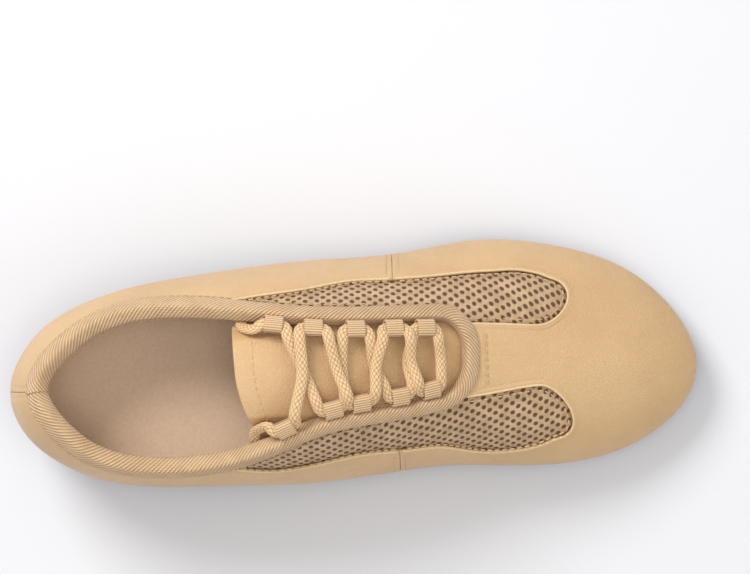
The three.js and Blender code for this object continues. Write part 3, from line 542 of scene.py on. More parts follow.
def spacer_mesh(name, colour, hole_shade_colour, along=4.2, across=1.85, radius=0.9):
    """Knitted mesh: round holes in rows, every other row moved by half a pitch."""
    f = Finish(name, colour, 0.85)
    u, v = f.uv()
    row = f.maths("DIVIDE", v, across)
    odd = f.maths("MODULO", f.maths("FLOOR", row), 2.0)
    wobble = f.times(f.maths("SUBTRACT", f.noise(150, 1), 0.5), 0.16)
    column = f.plus(f.maths("DIVIDE", u, along), f.plus(f.times(odd, 0.5), wobble))
    off = lambda a: f.maths("SUBTRACT", f.maths("FRACT", a), 0.5)
    dx, dy = f.times(off(column), along), f.times(off(row), across)
    distance = f.maths("SQRT", f.plus(f.times(dx, dx), f.times(dy, dy)))
    solid = f.ramp(distance, radius - 0.32, radius + 0.12)
    knit = f.times(f.wave(u, 0.62), f.wave(v, 0.62))
    # random tone, with the knit's hollows a little darker as painted shade
    tone = f.ramp(f.plus(f.noise(250, 3), f.times(knit, 0.12)), 0.3, 0.75)
    thread = f.blend(tone, linear(198, 162, 122), colour)
    # the holes are painted dark brown: painted shade in them, not the light lining behind
    f.set(Base_Color=f.blend(solid, hole_shade_colour, thread), Sheen_Weight=0.1)
    f.relief(solid, 0.4)
    f.relief(knit, 0.1)
    return f.mat


def twill(name, colour, dark, pitch=1.6, depth=0.24):
    """Woven tape: slanting ridges, each broken into short threads."""
    f = Finish(name, colour, 0.85)
    u, v = f.uv()
    ridge = f.wave(f.plus(u, f.times(v, 0.9)), pitch)
    height = f.plus(ridge, f.times(f.wave(v, 0.7), 0.35))
    # darker down in the grooves between ridges as painted shade, with a random tone over it
    tone = f.plus(f.times(height, 0.42), f.noise(200, 3))
    f.dye_and_shade(tone, 0.1, 0.9, dark, colour)
    f.relief(height, depth)
    return f.mat


def braid(name, colour, dark):
    """Braid: each cell of the two crossing families of strands is darker at its rim: painted shade
    between the strands.
    """
    f = Finish(name, colour, 0.85)
    one, two = f.uv()
    ridge = f.times(*(f.maths("ABSOLUTE", f.wave(a, 2.0)) for a in (one, two)))
    f.dye_and_shade(ridge, 0.0, 0.55, dark, colour)
    f.relief(f.noise(1500, 2), 0.08)
    return f.mat


def ribbed(name, colour, dark, pitch=0.8):
    """Ribbed webbing: ribs across the ribbon, seen round each loop."""
    f = Finish(name, colour, 0.85)
    u, v = f.uv()
    rib = f.maths("ABSOLUTE", f.wave(v, 2 * pitch))
    height = f.plus(rib, f.times(f.wave(u, 0.45), 0.12))
    # darker in the valleys between ribs: painted shade
    f.dye_and_shade(height, 0.05, 0.8, dark, colour)
    f.relief(height, 0.25)
    return f.mat


def plain(name, colour, roughness, metallic=0.0, grain=400.0, depth=0.05, stretch=(1, 1, 1)):
    f = Finish(name, colour, roughness, metallic)
    brushed = f.noise(grain, 3, 0.5, stretch)
    f.set(Roughness=f.ramp(brushed, 0.3, 0.7, roughness - 0.07, roughness + 0.07))
    f.relief(brushed, depth)
    return f.mat


TAN, TAN_DARK = linear(219, 181, 132), linear(194, 153, 106)
MATERIALS = {
    "leather": leather("tan leather", TAN, TAN_DARK),
    "mesh": spacer_mesh("spacer mesh", linear(226, 192, 150), linear(104, 74, 48)),
    "binding": twill("twill binding", linear(240, 204, 160), linear(198, 158, 114)),
    "webbing": ribbed("ribbed webbing", linear(230, 194, 150), linear(176, 136, 96)),
    "lace": braid("lace cotton", linear(232, 198, 152), linear(188, 148, 102)),
    "lining": suede("suede lining", linear(222, 206, 178), linear(198, 180, 150)),
    "insole": cloth("insole cloth", linear(240, 212, 186), linear(224, 192, 164), 0.92, 0.7, 0.06),
    "sole": plain("dark sole", linear(88, 50, 44), 0.5, depth=0.08),
    "arch": leather("arch leather", linear(120, 84, 62), linear(96, 66, 48), 0.6),
    "board": plain("fibreboard", linear(122, 88, 64), 0.85, depth=0.1),
    "stiffener": plain("stiffener", linear(226, 218, 202), 0.8),
    "tap_metal": plain("brushed tap metal", linear(196, 198, 202), 0.28, 1.0, 60, 0.03,
                       (1, 14, 1)),
    "screw_steel": plain("screw steel", linear(150, 152, 156), 0.32, 1.0),
    "aglet": plain("clear aglet", linear(222, 204, 172), 0.2),
    "thread": cloth("sewing thread", linear(230, 196, 148), linear(198, 162, 116), 0.75, 0.4,
                    0.05),
    "piping": leather("light piping", linear(236, 206, 160), linear(214, 180, 130), 0.6)}


def finish(obj, material, body, nodes=()):
    """Gives a piece its material, the nodes it stands for and what it rides on."""
    obj.data.materials.clear()
    obj.data.materials.append(MATERIALS[material])
    if nodes:
        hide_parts(*nodes)
    if body == "bend":
        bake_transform(obj)
    else:
        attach(obj, body)
    return obj


# ---- stitches ----
STITCH_PITCH, STITCH_LENGTH, STITCH_WIDTH, STITCH_RISE = 2.7, 2.05, 0.56, 0.34


def stitches(name, rows, body):
    """Rows of stitches: flattened ellipsoids set along lines of (place, normal) points."""
    turns, bands = 8, 5
    b, a = np.meshgrid(np.linspace(0.12, math.pi - 0.12, bands),
                       turn_round(turns), indexing="ij")
    girth = np.sin(b) ** 0.6
    unit_shape = np.stack([-np.cos(b) * STITCH_LENGTH / 2, girth * np.cos(a) * STITCH_WIDTH / 2,
                           girth * np.sin(a) * STITCH_RISE], -1).reshape(-1, 3)
    cell = grid_faces(bands, turns, False, True)
    caps = [list(range(turns))[::-1], list(range((bands - 1) * turns, bands * turns))]
    places, tangents, normals = [], [], []
    for row in rows:
        line = resample(np.asarray(row, float), STITCH_PITCH)
        middle = (line[1:] + line[:-1]) / 2
        places.append(middle[:, :3])
        tangents.append(unit(line[1:, :3] - line[:-1, :3]))
        normals.append(unit(middle[:, 3:]))
    places, tangents, normals = (np.concatenate(x) for x in (places, tangents, normals))
    sides = unit(np.cross(normals, tangents))
    normals = np.cross(tangents, sides)
    along, across, up = (unit_shape[None, :, i:i + 1] for i in range(3))
    points = (places[:, None] + tangents[:, None] * along + sides[:, None] * across
              + normals[:, None] * up)
    count = bands * turns
    base = np.arange(len(places)) * count
    faces = (cell[None] + base[:, None, None]).reshape(-1, 4).tolist()
    for start in base.tolist():
        faces += [[k + start for k in cap] for cap in caps]
    obj = outward(make_object(name, points.reshape(-1, 3), faces, points.reshape(-1, 3)[:, :2]))
    finish(obj, "thread", body)


def line_on(s, v, off):
    """Rows of (place, normal) along stations and rises on the last."""
    s, v, off = together(s, v, off)
    return np.concatenate([point_at(s, v, off), normal_at(s, v)], -1)


def beside(s, v, distance, off):
    """A line moved that far to its left or right along the last's surface."""
    frames = edge_frames(s, v)
    return np.concatenate([shifted(frames, np.asarray([distance] * len(s))[:, None], off)[:, 0],
                           frames["normal"]], -1)


def edge_frames(s, v, closed=False):
    """Tangent, normal and the way across, along a line on the last."""
    s, v = np.asarray(s, float), np.asarray(v, float)
    place = surface(s, v)
    if closed:
        tangent = np.roll(place, -1, 0) - np.roll(place, 1, 0)
    else:
        tangent = np.gradient(place, axis=0)
    normal = normal_at(s, v)
    tangent = unit(tangent)
    return {"s": s, "v": v, "place": place, "tangent": tangent, "normal": normal,
            "away": unit(np.cross(normal, tangent))}


def shifted(frames, distances, offs, direction=None):
    """Surface points some distances (rows by columns) along `away` from the line's points."""
    way = frames["away"] if direction is None else direction
    along, rise = slopes(frames["s"], frames["v"])
    dot = lambda a, b: (a * b).sum(-1)
    aa, ar, rr = dot(along, along), dot(along, rise), dot(rise, rise)
    da, dr = dot(way, along), dot(way, rise)
    det = aa * rr - ar * ar
    ds, dv = (da * rr - dr * ar) / det, (dr * aa - da * ar) / det
    d = np.asarray(distances, float)
    return point_at(frames["s"][:, None] + ds[:, None] * d, frames["v"][:, None] + dv[:, None] * d,
                    offs)


# ---- leather upper ----
def sorted_on(side, stations):
    return np.sort(on_side(side, stations))


def corner_stations(count):
    turn = np.linspace(0, math.pi / 2, count)
    return THROAT_CORNER + (THROAT_FRONT - THROAT_CORNER) * np.sin(turn)


def wander(s, v, size=0.07):
    """Slow waves in the leather, less than a tenth of a millimetre high."""
    return size * np.sin(2.9 * s + 4 * v) * np.sin(1.7 * s - 5 * v + 1)


def rise_length(s, low, high):
    steps = low[:, None] + (high - low)[:, None] * np.linspace(0, 1, 9)
    return np.linalg.norm(np.diff(surface(s[:, None], steps), axis=1), axis=-1).sum(1)


QUARTER_FRONT, VAMP_REAR, BACK_SEAM, WINDOW_REAR = 5.957, 5.96, 0.004, 3.9
UNDER_EDGE = 0.006      # how far the inner plies stop below the leather's edge, as a rise


def end_distance(s, end):
    """Millimetres along the shoe from a piece's end station."""
    return np.linalg.norm(surface(s, 0.4) - surface(np.full_like(s, end), 0.4), axis=-1)


def quarter(side):
    stations = np.concatenate([
        BACK_SEAM + np.array([0, .004, .01, .018, .028, .05, .09]), np.linspace(0.14, 5.8, 118),
        QUARTER_FRONT - np.array([0.1, .08, .06, .045, .032, .022, .014, .008, .003, 0])])
    s = sorted_on(side, stations)
    high = window_low(side, s)
    share = spread(30, 45.0)
    v = high[:, None] * share
    length = rise_length(s, np.zeros_like(s), high)[:, None]
    from_top = (1 - share) * length
    k = from_heel(s)
    free = share_of(k, WINDOW_REAR, 0.2)[:, None]
    front = end_distance(s, on_side(side, QUARTER_FRONT))[:, None]
    rear = end_distance(s, on_side(side, BACK_SEAM))[:, None]
    top = (wander(s[:, None], v) + rounded(from_top) + rounded(front, 0.28) + rounded(rear, 0.35)
           + free * (groove(from_top, 0.8, -0.16, 0.6) + groove(from_top, 1.9))
           + (1 - free) * groove(from_top, 6.6, 0.12) + groove(front, 1.7, 0.1) + groove(rear, 1.7)
           + rounded(share * length, 0.4))
    piece = closed_from_sheets(f"quarter_leather_{side}", [ply(s[:, None], v, top, -LEATHER)])
    finish(piece, "leather", "root", [f"quarter_{side}"])


THROAT_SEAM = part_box("topline_binding")[1][0] / MM - SHIFT[0] + 2.6
WINDOW_STITCH = 2.0


def vamp():
    sheets = []
    for side in SIDES:
        tip = TIP[side]
        stations = np.unique(np.concatenate([
            VAMP_REAR + np.array([0, .003, .008, .014, .022, .032, .045, .06, .08]),
            np.linspace(6.06, 8.2, 86), tip - np.array([.08, .05, .03, .015, .006, 0.0]),
            tip + np.array([.02, .05]), np.linspace(8.42, 10, 44), corner_stations(13)]))
        s = sorted_on(side, stations)
        low, high = window_low(side, s), window_high(side, s)
        below, above, strip = spread(26, 42.0), spread(22, 26.0), topline(s) - high
        v = np.concatenate([low[:, None] * below, high[:, None] + strip[:, None] * above], 1)
        k, row = from_heel(s), len(below)
        # the window is a row of missing faces, and so is the strip over it where it has no width
        mask = np.ones((v.shape[0] - 1, v.shape[1] - 1), bool)
        mask[(k[1:] + k[:-1]) / 2 < tip, row - 1] = False
        mask[:, row:] &= (np.maximum(strip[1:], strip[:-1]) > 2e-3)[:, None]
        place = surface(s[:, None], v)
        fine = np.linspace(VAMP_REAR, tip, 400)
        at = on_side(side, fine)
        lines = np.concatenate([surface(at, window_low(side, at)),
                                surface(at, window_high(side, at))[fine > 6.8]])
        distance = np.concatenate([
            np.linalg.norm(part[:, None] - lines[None], axis=-1).min(1)
            for part in np.array_split(place.reshape(-1, 3), 40)]).reshape(v.shape)
        rear = end_distance(s, on_side(side, VAMP_REAR))[:, None]
        across = (v > high[:, None] + 0.03) * (k[:, None] > 6.9)
        top = (wander(s[:, None], v) + rounded(distance) + groove(distance, 0.9, -0.2, 0.65)
               + groove(distance, WINDOW_STITCH) + rounded(rear, 0.28) + groove(rear, 1.7, 0.1)
               + rounded(v * UPPER_DEPTH, 0.4)
               + across * groove(place[..., 0], THROAT_SEAM, 0.22, 0.6))
        sheets.append(ply(s[:, None], v, top, -LEATHER, mask))
    finish(closed_from_sheets("vamp_leather", sheets), "leather", "bend", ["vamp"])


def mesh_panel(side):
    """Spacer mesh behind the window, swelling a little out of it."""
    low_pairs, high_pairs = WINDOW[side]
    rear, tip = low_pairs[0][0], low_pairs[-1][0]
    s = sorted_on(side, np.concatenate([[rear - 0.12, rear - 0.05], np.linspace(rear, tip, 130),
                                        [tip + 0.06, tip + 0.12]]))
    k = np.clip(from_heel(s), rear + 0.01, tip)
    at = on_side(side, k)
    strip = np.where(k > high_pairs[0][0], window_high(side, at) + 0.045, 1)
    low = window_low(side, at) - 0.045
    high = np.minimum(strip, topline(s) - UNDER_EDGE)
    share = np.linspace(0, 1, 34)
    v = low[:, None] + (high - low)[:, None] * share
    length = rise_length(s, low, high)[:, None]
    edge = np.minimum(share * length, (1 - share) * length) - 2.2
    ends = np.minimum(k - rear, tip - k)[:, None] * 24
    swell = 0.9 * (1 - np.exp(-np.clip(np.minimum(edge, ends), 0, None) / 2.2))
    piece = closed_from_sheets(f"mesh_cloth_{side}",
                               [ply(s[:, None], v, MID_PLY + swell, MID_PLY - MESH)])
    finish(piece, "mesh", "bend", [f"mesh_panel_{side}"])


for side in SIDES:
    quarter(side)
    mesh_panel(side)
vamp()


# ---- linings ----
def lining(s, edge):
    return ply(s[:, None], edge[:, None] * np.linspace(0, 1, 40), LINING_PLY, INNER_FACE)


def linings():
    s = np.linspace(-5.86, 5.86, 210)
    rear = closed_from_sheets("rear_lining", [lining(s, topline(s) - UNDER_EDGE)])
    finish(rear, "lining", "root", ["quarter_lining"])
    sheets = []
    for side in SIDES:
        s = sorted_on(side, np.unique(np.concatenate([
            np.linspace(5.89, 10, 90), corner_stations(11)])))
        sheets.append(lining(s, np.where(topline(s) < 1, topline(s) - UNDER_EDGE, 1)))
    finish(closed_from_sheets("front_lining", sheets), "lining", "bend", ["vamp_lining"])


linings()


# ---- binding ----
BINDING_WIDTH, LACE_BINDING_WIDTH, BINDING_REACH = 5.2, 3.6, 1.3


def opening_path():
    """Stations and rises once round the opening's edge, from the heel by the lateral side."""
    side = np.concatenate([np.linspace(0, THROAT_CORNER, 150)[:-1], corner_stations(26)])
    s = np.concatenate([side, (AROUND - side[1:-1])[::-1]])
    return s, topline(s)


def binding():
    """Folded tape: a closed band outside the edge, round it and down inside."""
    s, v = opening_path()
    frames = edge_frames(s, v, closed=True)
    t = share_of(from_heel(s), 3.2, 1.6)
    w = (BINDING_WIDTH + (LACE_BINDING_WIDTH - BINDING_WIDTH) * t * t * (3 - 2 * t))[:, None]
    outer, inner = 0.32, INNER_FACE - PLY_GAP
    top = outer + 0.62
    # the section: a share of the width, millimetres more, and the height over the last
    share, more, off = np.array([
        [1, 0, outer], [1, -0.06, top - 0.12], [1, -0.28, top], [0.75, 0, top + 0.10],
        [0.5, 0, top + 0.14], [0.25, 0, top + 0.12], [0, -0.1, top + 0.02],
        [0, -0.75, top - 0.35], [0, -1.12, top - 0.85], [0, -1.3, -0.6], [0, -1.3, -2.6],
        [0, -1.22, -3.8], [0, -0.95, inner - 0.3], [0, -0.4, inner - 0.55],
        [0, 0.8, inner - 0.6], [0, 2.2, inner - 0.55], [0, 2.4, inner - 0.4], [0, 2.4, inner],
        [0, 0.8, inner], [0, -0.4, inner], [0, -0.4, outer], [0.5, 0, outer],
        [0.98, 0, outer]]).T
    d = w * share + more
    points = shifted(frames, d, np.broadcast_to(off, d.shape))
    uvs = np.stack(np.meshgrid(arc_along(frames["place"]), arc_along(points[0]),
                               indexing="ij"), -1)
    piece = swept("binding_tape", points, True, uvs)
    finish(piece, "binding", "root", ["topline_binding"])
    line = shifted(frames, w + 1.5, 0.1)[:, 0]
    rear = from_heel(s) < 5.8
    rows = [np.concatenate([line, frames["normal"]], -1)[part] for part in
            (rear & (s < TOE), rear & (s > TOE))]
    stitches("topline_stitching", rows, "root")


binding()


# ---- lace loops ----
LOOP_LENGTH, LOOP_WIDTH, LOOP_DEPTH, WEBBING = 6.6, 6.4, 4.6, 0.8
LOOP_OFF, LOOP_SEAT = -0.8, BINDING_REACH + 0.3 + LOOP_WIDTH / 2


def loop_frame(side, index):
    k = LOOP_STATIONS[side][index]
    s = on_side(side, k + np.array([-0.05, 0, 0.05]))
    frames = edge_frames(s, topline(s))
    forward = frames["tangent"][1]
    away = unit(np.cross(frames["normal"][1], forward)) * (1 if side == "lateral" else -1)
    one = {key: value[1:2] for key, value in frames.items()}
    centre = shifted(one, [[-LOOP_SEAT]], LOOP_OFF, away[None])[0, 0]
    above = shifted(one, [[-LOOP_SEAT]], LOOP_OFF + 1, away[None])[0, 0]
    up = unit(above - centre)
    inward = -away
    inward = unit(inward - up * (inward @ up))
    return {"centre": centre, "forward": forward, "inward": inward, "up": up}


def lace_loop(side, index):
    """A band bent into an oval: a rounded strip section carried round the oval."""
    loop = loop_frame(side, index)
    a = turn_round(44)
    ox = softened(np.cos(a), 0.72) * (LOOP_WIDTH - WEBBING) / 2
    oy = softened(np.sin(a), 0.72) * (LOOP_DEPTH - WEBBING) / 2
    tx, ty = (np.gradient(np.r_[o[-1], o, o[0]])[1:-1] for o in (ox, oy))
    size = np.hypot(tx, ty)
    nx, ny = ty / size, -tx / size
    half_l, half_t = LOOP_LENGTH / 2, WEBBING / 2
    u = np.linspace(-half_l + 0.25, half_l - 0.25, 9)
    end = [(half_l - 0.05, half_t * 0.6), (half_l, 0), (half_l - 0.05, -half_t * 0.6)]
    section = np.array([(x, half_t) for x in u] + end + [(x, -half_t) for x in u[::-1]]
                       + [(-x, -y) for x, y in end])
    radial = section[None, :, 1]
    # the band's ends spread a little, as soft webbing does round a lace
    flare = 1 + 0.035 * (section[None, :, 0] / half_l) ** 2
    px = ox[:, None] * flare + nx[:, None] * radial
    py = oy[:, None] * flare + ny[:, None] * radial
    points = (loop["centre"] + loop["inward"] * px[..., None] + loop["up"] * py[..., None]
              + loop["forward"] * section[None, :, :1])
    around = np.r_[0, np.cumsum(np.hypot(np.diff(ox), np.diff(oy)))]
    uvs = np.stack(np.broadcast_arrays(section[None, :, 0], around[:, None]), -1)
    n, m = points.shape[:2]
    piece = outward(make_object(f"loop_webbing_{side}_{index + 1}", points.reshape(-1, 3),
                                grid_faces(n, m, True, True), uvs))
    finish(piece, "webbing", "root", [f"lace_loop_{side}_{index + 1}"])


for side in SIDES:
    for index in range(len(LOOP_STATIONS[side])):
        lace_loop(side, index)


# ---- lace ----
LACE_UNDER, LACE_OVER, LACE_LIFT = -3.4, -0.9, 1.9
LACE_WIDTH, LACE_THICKNESS = 4.1, 2.3
LACE_TAIL = {
    "lateral": [[4.4, 0.73, -3], [4.3, 0.69, -5.6], [4.25, 0.64, -7.1], [4.25, 0.58, -7],
                [4.32, 0.51, -6.4], [4.45, 0.45, -6.1], [4.65, 0.41, -6], [4.9, 0.38, -6]],
    "medial": [[4.5, 0.735, -2.8], [4.42, 0.69, -5.4], [4.36, 0.64, -7.1], [4.35, 0.57, -7],
               [4.4, 0.5, -6.4], [4.5, 0.44, -6.1], [4.65, 0.4, -6], [4.9, 0.37, -6]]}


def on_last(side, k, v, off):
    s = on_side(side, k)
    return np.r_[point_at(s, v, off), normal_at(s, v)]


def mouth(loop, way, out, inwards, rise):
    place = (loop["centre"] + loop["forward"] * way * (LOOP_LENGTH / 2 + out)
             + loop["inward"] * inwards + loop["up"] * rise)
    return np.r_[place, loop["up"]]


def leaving(loop, way, lift):
    """From inside a loop, out by its mouth and up clear of it."""
    return [mouth(loop, way, *steps) for steps in (
        (-1, 0, 0), (0.4, 0.1, 0), (1.5, 1.7, lift * 0.6), (1.9, 4, lift))]


def strand(from_side, row, over):
    to_side = "medial" if from_side == "lateral" else "lateral"
    a, b = loop_frame(from_side, row), loop_frame(to_side, row - 1)
    lift = LACE_LIFT if over else 0
    middle = (LOOP_STATIONS[from_side][row] + LOOP_STATIONS[to_side][row - 1]) / 2
    crossing = on_last(from_side, middle + 0.01, 1, LACE_OVER if over else LACE_UNDER)
    return leaving(a, -1, lift) + [crossing] + leaving(b, 1, lift)[::-1]


def lace_route():
    last = len(LOOP_STATIONS["lateral"]) - 1
    halves = []
    for side in SIDES:
        points, at = [], side
        for row in range(last, 0, -1):
            if row == last:
                loop = loop_frame(at, row)
                points += [mouth(loop, 1, 1.5, 4.5, 0), mouth(loop, 1, 1.4, 1.8, 0),
                           mouth(loop, 1, 0.4, 0.1, 0), mouth(loop, 1, -1, 0, 0)]
            points += strand(at, row, (at == "medial") == (row % 2 == 0))
            at = "medial" if at == "lateral" else "lateral"
        points.append(mouth(loop_frame(at, 0), -1, 0.5, 0, 0))
        points += [on_last(at, *p) for p in LACE_TAIL[at]]
        halves.append(points)
    return halves[0][::-1] + [on_last("lateral", 6.62, 1, -1.8)] + halves[1]


def lace():
    """Oval braid: two families of strands wound opposite ways, each a low ridge."""
    line = eased(resample(smooth_path(lace_route(), 10), 0.42), 9)
    place, up = line[:, :3], unit(line[:, 3:])
    tangent = unit(np.gradient(place, axis=0))
    side = unit(np.cross(up, tangent))
    up = np.cross(tangent, side)
    a = turn_round(40)
    arc = arc_along(place)[:, None]
    turns, pitch = 8, 4.6
    around, advance = turns * a[None] / (2 * math.pi), turns * arc / (4 * pitch)
    one, two = around + advance, around - advance
    ridge = np.abs(np.sin(math.pi * one) * np.sin(math.pi * two)) ** 0.6
    grow = 0.34 * (ridge - 0.6)
    x = softened(np.cos(a), 0.85)[None] * (LACE_WIDTH / 2 + grow)
    y = softened(np.sin(a), 0.85)[None] * (LACE_THICKNESS / 2 + grow)
    points = place[:, None] + side[:, None] * x[..., None] + up[:, None] * y[..., None]
    piece = swept("braided_lace", points, uvs=np.stack([one, two], -1))
    finish(piece, "lace", "root", ["lace"])


lace()


# ---- tongue ----
TONGUE_REAR, TONGUE_FRONT, TONGUE_SKEW, TONGUE_UNDERLAP = 4.14, 7.14, 0.26, 0.06
TONGUE_THICKNESS, TONGUE_LINING_THICKNESS, TAPE = 1.4, 0.8, 0.6
TONGUE_TOP = INNER_FACE - PLY_GAP - TAPE - 0.5


def tongue_off(s, v):
    """Clear under the binding, lower at the rear edges, against the lining ahead of it."""
    k = from_heel(s)
    rear = 2.4 * np.clip((0.76 - v) / 0.12, 0, 1) * np.clip((5.1 - k) / 0.5, 0, 1)
    lowered = TONGUE_TOP - 0.7 * np.clip((1 - v) / 0.26, 0, 1) - rear
    return lowered + (INNER_FACE - PLY_GAP - lowered) * share_of(k, 7.05, 0.15)


def tongue_place(side, k, v):
    """The tongue's stations: its medial edge starts further forward."""
    ahead = TONGUE_SKEW * (TONGUE_FRONT - k) / (TONGUE_FRONT - TONGUE_REAR)
    skew = ahead * np.minimum((1 - v) / 0.45, 1) if side == "medial" else 0
    return on_side(side, k + skew)


def tongue_sheets(drop, thickness, detail):
    """Two halves that meet on the crown, with rounded rear corners and a pressed seam."""
    sheets = []
    for side in SIDES:
        share, along = spread(40, 40.0)[:-9], spread(70, 95.0)
        share = share / share[-1]
        k = TONGUE_REAR + (TONGUE_FRONT - TONGUE_REAR) * along[:, None]
        low = np.minimum(side_rise(on_side(side, k)) - TONGUE_UNDERLAP, 0.72)
        v = low + (1 - low) * share[None]
        corner = 0.16 * np.clip(1 - share[None] / 0.14, 0, 1) ** 2 * (1 - along[:, None]) ** 6
        s = tongue_place(side, k + corner, v)
        edge = np.minimum(share[None] * (1 - low) * 75, (k - TONGUE_REAR) * 27.0)
        top = tongue_off(s, v) - drop + detail * (rounded(edge, 0.5) + groove(edge, 6.0, 0.2, 0.5))
        grid = s, v, top, tongue_off(s, v) - drop - thickness
        sheets.append(ply(*(g if side == "lateral" else g[::-1] for g in grid)))
    return sheets


finish(closed_from_sheets("tongue_leather", tongue_sheets(0, TONGUE_THICKNESS, 1)),
       "leather", "tongue", ["tongue"])
finish(closed_from_sheets("tongue_cloth", tongue_sheets(
    TONGUE_THICKNESS + PLY_GAP, TONGUE_LINING_THICKNESS, 0)),
    "lining", "tongue", ["tongue_lining"])


# ---- sole pieces and insole ----
CLEAR = 0.3
SHANK_THICKNESS, ARCH_COVER_THICKNESS = 1.2, 1.7
INSOLE_BOARD_THICKNESS, INSOLE_THICKNESS = 1.8, 2.5
SOLE_BASE = 2.5 + 2.0 + 2 * CLEAR      # over the tap, its board and the gaps between them
HEEL_BREAST, FOREPART_REAR, SOLE_INSET = 3.6, 6.25, 1.2
INSOLE_INSET = FEATHER_TUCK - INNER_FACE + 1.2


def plate(name, start, stop, steps, across, top, low, inset, low_inset=None,
          shift=lambda k, t: 0 * k * t, bevel=0.6):
    """A plate from the lateral edge to the medial one, some distance inside the widest line."""
    low_inset = inset if low_inset is None else low_inset
    k, t = np.linspace(start, stop, steps + 1)[:, None], np.linspace(0, 1, across + 1)[None]
    s = np.minimum(k + shift(k, t), TOE)

    def place(d, z):
        ends = []
        for at in (s, AROUND - s):
            nx, ny = plan_normal(at)
            ends.append(np.stack([widest_x(at) - nx * d, widest_y(at) - ny * d], -1))
        flat = ends[0] + (ends[1] - ends[0]) * t[..., None]
        return np.concatenate([flat, np.broadcast_to(z, s.shape)[..., None]], -1)
    upper, lower = place(inset, top(s)), place(low_inset, low(s))
    obj = closed_from_sheets(name, [(upper, upper, lower, None, upper[..., :2])])
    return applied(obj, "BEVEL", width=bevel * MM, segments=3, limit_method="ANGLE",
                   angle_limit=math.radians(50))


def forepart_shift(k, t):
    return -0.25 * np.sin(math.pi * t) * np.clip(1 - (k - FOREPART_REAR) / (TOE - FOREPART_REAR),
                                                 0, None) ** 2


arch_top = lambda s: feather_z(s) - 3 * CLEAR - SHANK_THICKNESS
board_top = lambda s: feather_z(s) + CLEAR + INSOLE_BOARD_THICKNESS
finish(plate("outsole_rubber", FOREPART_REAR, TOE, 90, 30, lambda s: feather_z(s) - CLEAR,
             lambda s: SOLE_BASE + 0 * s, SOLE_INSET, SOLE_INSET + 0.8, forepart_shift),
       "sole", "bend", ["forefoot_outsole"])
finish(plate("arch_leather", HEEL_BREAST + 0.03, FOREPART_REAR - 0.03, 60, 24, arch_top,
             lambda s: arch_top(s) - ARCH_COVER_THICKNESS, FEATHER_TUCK, FEATHER_TUCK + 1,
             lambda k, t: -0.25 * np.sin(math.pi * t), 0.5),
       "arch", "root", ["arch_cover"])
finish(plate("insole_fibreboard", 0, TOE, 120, 20, board_top, lambda s: feather_z(s) + CLEAR,
             INSOLE_INSET, bevel=0.3), "board", "bend", ["insole_board"])
insole = finish(plate("insole_cushion", 0, TOE, 130, 36,
                      lambda s: board_top(s) + CLEAR + INSOLE_THICKNESS,
                      lambda s: board_top(s) + CLEAR, INSOLE_INSET, bevel=0.9),
                "insole", "bend", ["insole"])

CAD_FINISH = {"heel_counter": "stiffener", "toe_puff": "stiffener", "shank": "screw_steel",
              "aglet_lateral": "aglet", "aglet_medial": "aglet", "heel_block": "sole",
              "heel_tap_board": "board", "toe_tap_board": "board", "heel_tap": "tap_metal",
              "toe_tap": "tap_metal"}
for which in ("heel", "toe"):
    CAD_FINISH.update({f"{which}_tap_screw_{i}": "screw_steel" for i in (1, 2, 3)})
for node, material in CAD_FINISH.items():
    for material_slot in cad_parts[node].material_slots:
        material_slot.material = MATERIALS[material]


# ---- seams ----
DOWN = {"lateral": -WINDOW_STITCH, "medial": WINDOW_STITCH}


def window_lines(side):
    """Lines beside the window's two edges, on the leather round it."""
    k = np.linspace(VAMP_REAR + 0.06, TIP[side], 160)
    s, upper = on_side(side, k), on_side(side, k[k > 6.86])
    return [beside(s, window_low(side, s), DOWN[side], 0.12),
            beside(upper, window_high(side, upper), -DOWN[side], 0.12)]


front_rows, rear_rows = [], []
for side in SIDES:
    front_rows += window_lines(side)
    k = np.linspace(WINDOW_REAR + 0.25, QUARTER_FRONT - 0.06, 90)
    s = on_side(side, k)
    rear_rows.append(beside(s, window_low(side, s), DOWN[side], 0.12))
    v = np.linspace(0.03, 1, 40)
    for rows, seam, way in ((front_rows, VAMP_REAR, 1), (rear_rows, QUARTER_FRONT, -1)):
        s = on_side(side, np.full_like(v, seam + way * 0.075))
        rows.append(line_on(s, v * (window_low(side, s) - 0.05), 0.05))


def piping(name, places, body, radius=0.5):
    """A thin cord along the leather's edge, its corners eased."""
    line = eased(resample(np.concatenate(places), 0.5), 7)
    place, up = line[:, :3], unit(line[:, 3:])
    side = unit(np.cross(up, unit(np.gradient(place, axis=0))))
    a = turn_round(10)
    points = place[:, None] + radius * (side[:, None] * np.cos(a)[None, :, None]
                                        + up[:, None] * np.sin(a)[None, :, None])
    finish(swept(name, points), "piping", body)


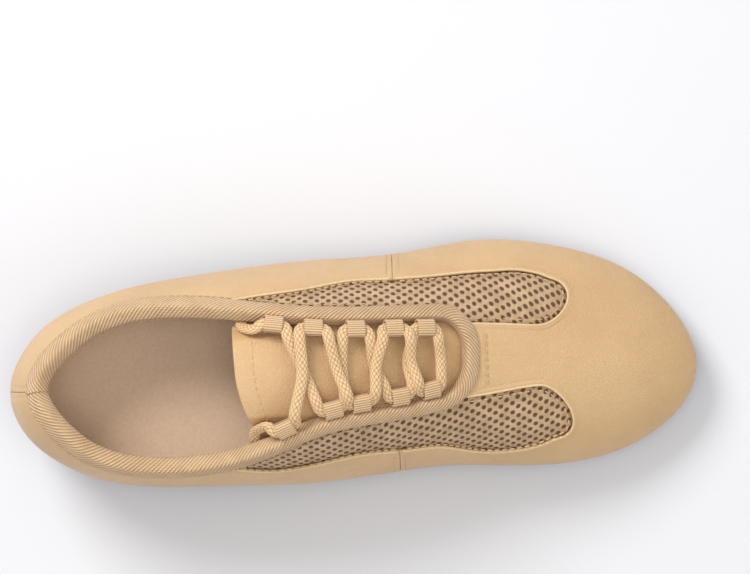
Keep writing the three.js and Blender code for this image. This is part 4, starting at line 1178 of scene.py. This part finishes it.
throat_row = []
for side in SIDES:
    k = np.linspace(VAMP_REAR + 0.02, TIP[side], 300)
    s = on_side(side, k)
    low = line_on(s, window_low(side, s), -0.15)
    s = on_side(side, k[k > 6.9][::-1])
    high = line_on(s, window_high(side, s), -0.15)
    piping(f"window_piping_{side}", [low, high], "bend")
    k = np.linspace(WINDOW_REAR + 0.1, QUARTER_FRONT - 0.02, 200)
    s = on_side(side, k)
    piping(f"quarter_piping_{side}", [line_on(s, window_low(side, s), -0.15)], "root")
    rises, stations = np.linspace(0.85, 1, 16), np.linspace(6.9, 7.9, 80)
    across = surface(on_side(side, stations)[None], rises[:, None])[..., 0]
    k = np.array([np.interp(THROAT_SEAM, xs, stations) for xs in across])
    inside = rises > window_high(side, on_side(side, k)) + 0.035
    throat_row.append(line_on(on_side(side, k[inside]), rises[inside], 0.15))
front_rows.append(np.concatenate([throat_row[0], throat_row[1][::-1][1:]]))
stitches("vamp_stitching", front_rows, "bend")
stitches("quarter_stitching", rear_rows, "root")
v = np.linspace(0.62, 1, 50)
halves = []
for side in SIDES:
    s = tongue_place(side, TONGUE_REAR + 0.22, v)
    halves.append(line_on(s, v, tongue_off(s, v) - 0.1))
stitches("tongue_stitching", [np.concatenate([halves[0], halves[1][::-1][1:]])], "tongue")


# ---- floor, lights and camera ----
floor_mesh = bpy.data.meshes.new("floor")
reach, below = 3.0, -0.0002      # half the floor's width, and its height: clear of the taps
floor_mesh.from_pydata([(x, y, below) for x, y in ((-reach, -reach), (reach, -reach),
                                                   (reach, reach), (-reach, reach))],
                       [], [(0, 1, 2, 3)])
floor = in_scene("floor", floor_mesh)
floor.data.materials.append(plain("pale floor", linear(229, 229, 232), 0.7, depth=0.0))

world = bpy.data.worlds.new("studio")
bpy.context.scene.world = world
world.use_nodes = True
background = next(n for n in world.node_tree.nodes if n.type == "BACKGROUND")
background.inputs["Color"].default_value = (1.0, 1.0, 1.0, 1.0)
background.inputs["Strength"].default_value = 0.53


def area_light(name, place, size, power):
    light = bpy.data.lights.new(name, "AREA")
    light.shape, light.size, light.energy = "DISK", size, power
    obj = in_scene(name, light)
    obj.location = place
    obj.rotation_euler = (Vector((0, 0, 0.03)) - Vector(place)).to_track_quat("-Z", "Y").to_euler()


area_light("key", (-0.55, 0.75, 1.0), 0.6, 11.6)
area_light("fill", (0.8, -0.5, 0.9), 1.0, 2.4)
area_light("top", (-0.02, -0.05, 1.1), 0.5, 2.2)
bpy.context.scene.view_settings.view_transform = "Standard"

CAMERA_PLACE, LENS, TURN = (0.0081, 0.0277, 1.2), 152, math.radians(2.35)
camera_data = bpy.data.cameras.new("camera")
camera_data.lens, camera_data.sensor_width = LENS, 36
camera = in_scene("camera", camera_data)
camera.location = CAMERA_PLACE
camera.rotation_euler = (0, 0, -TURN)
bpy.context.scene.camera = camera
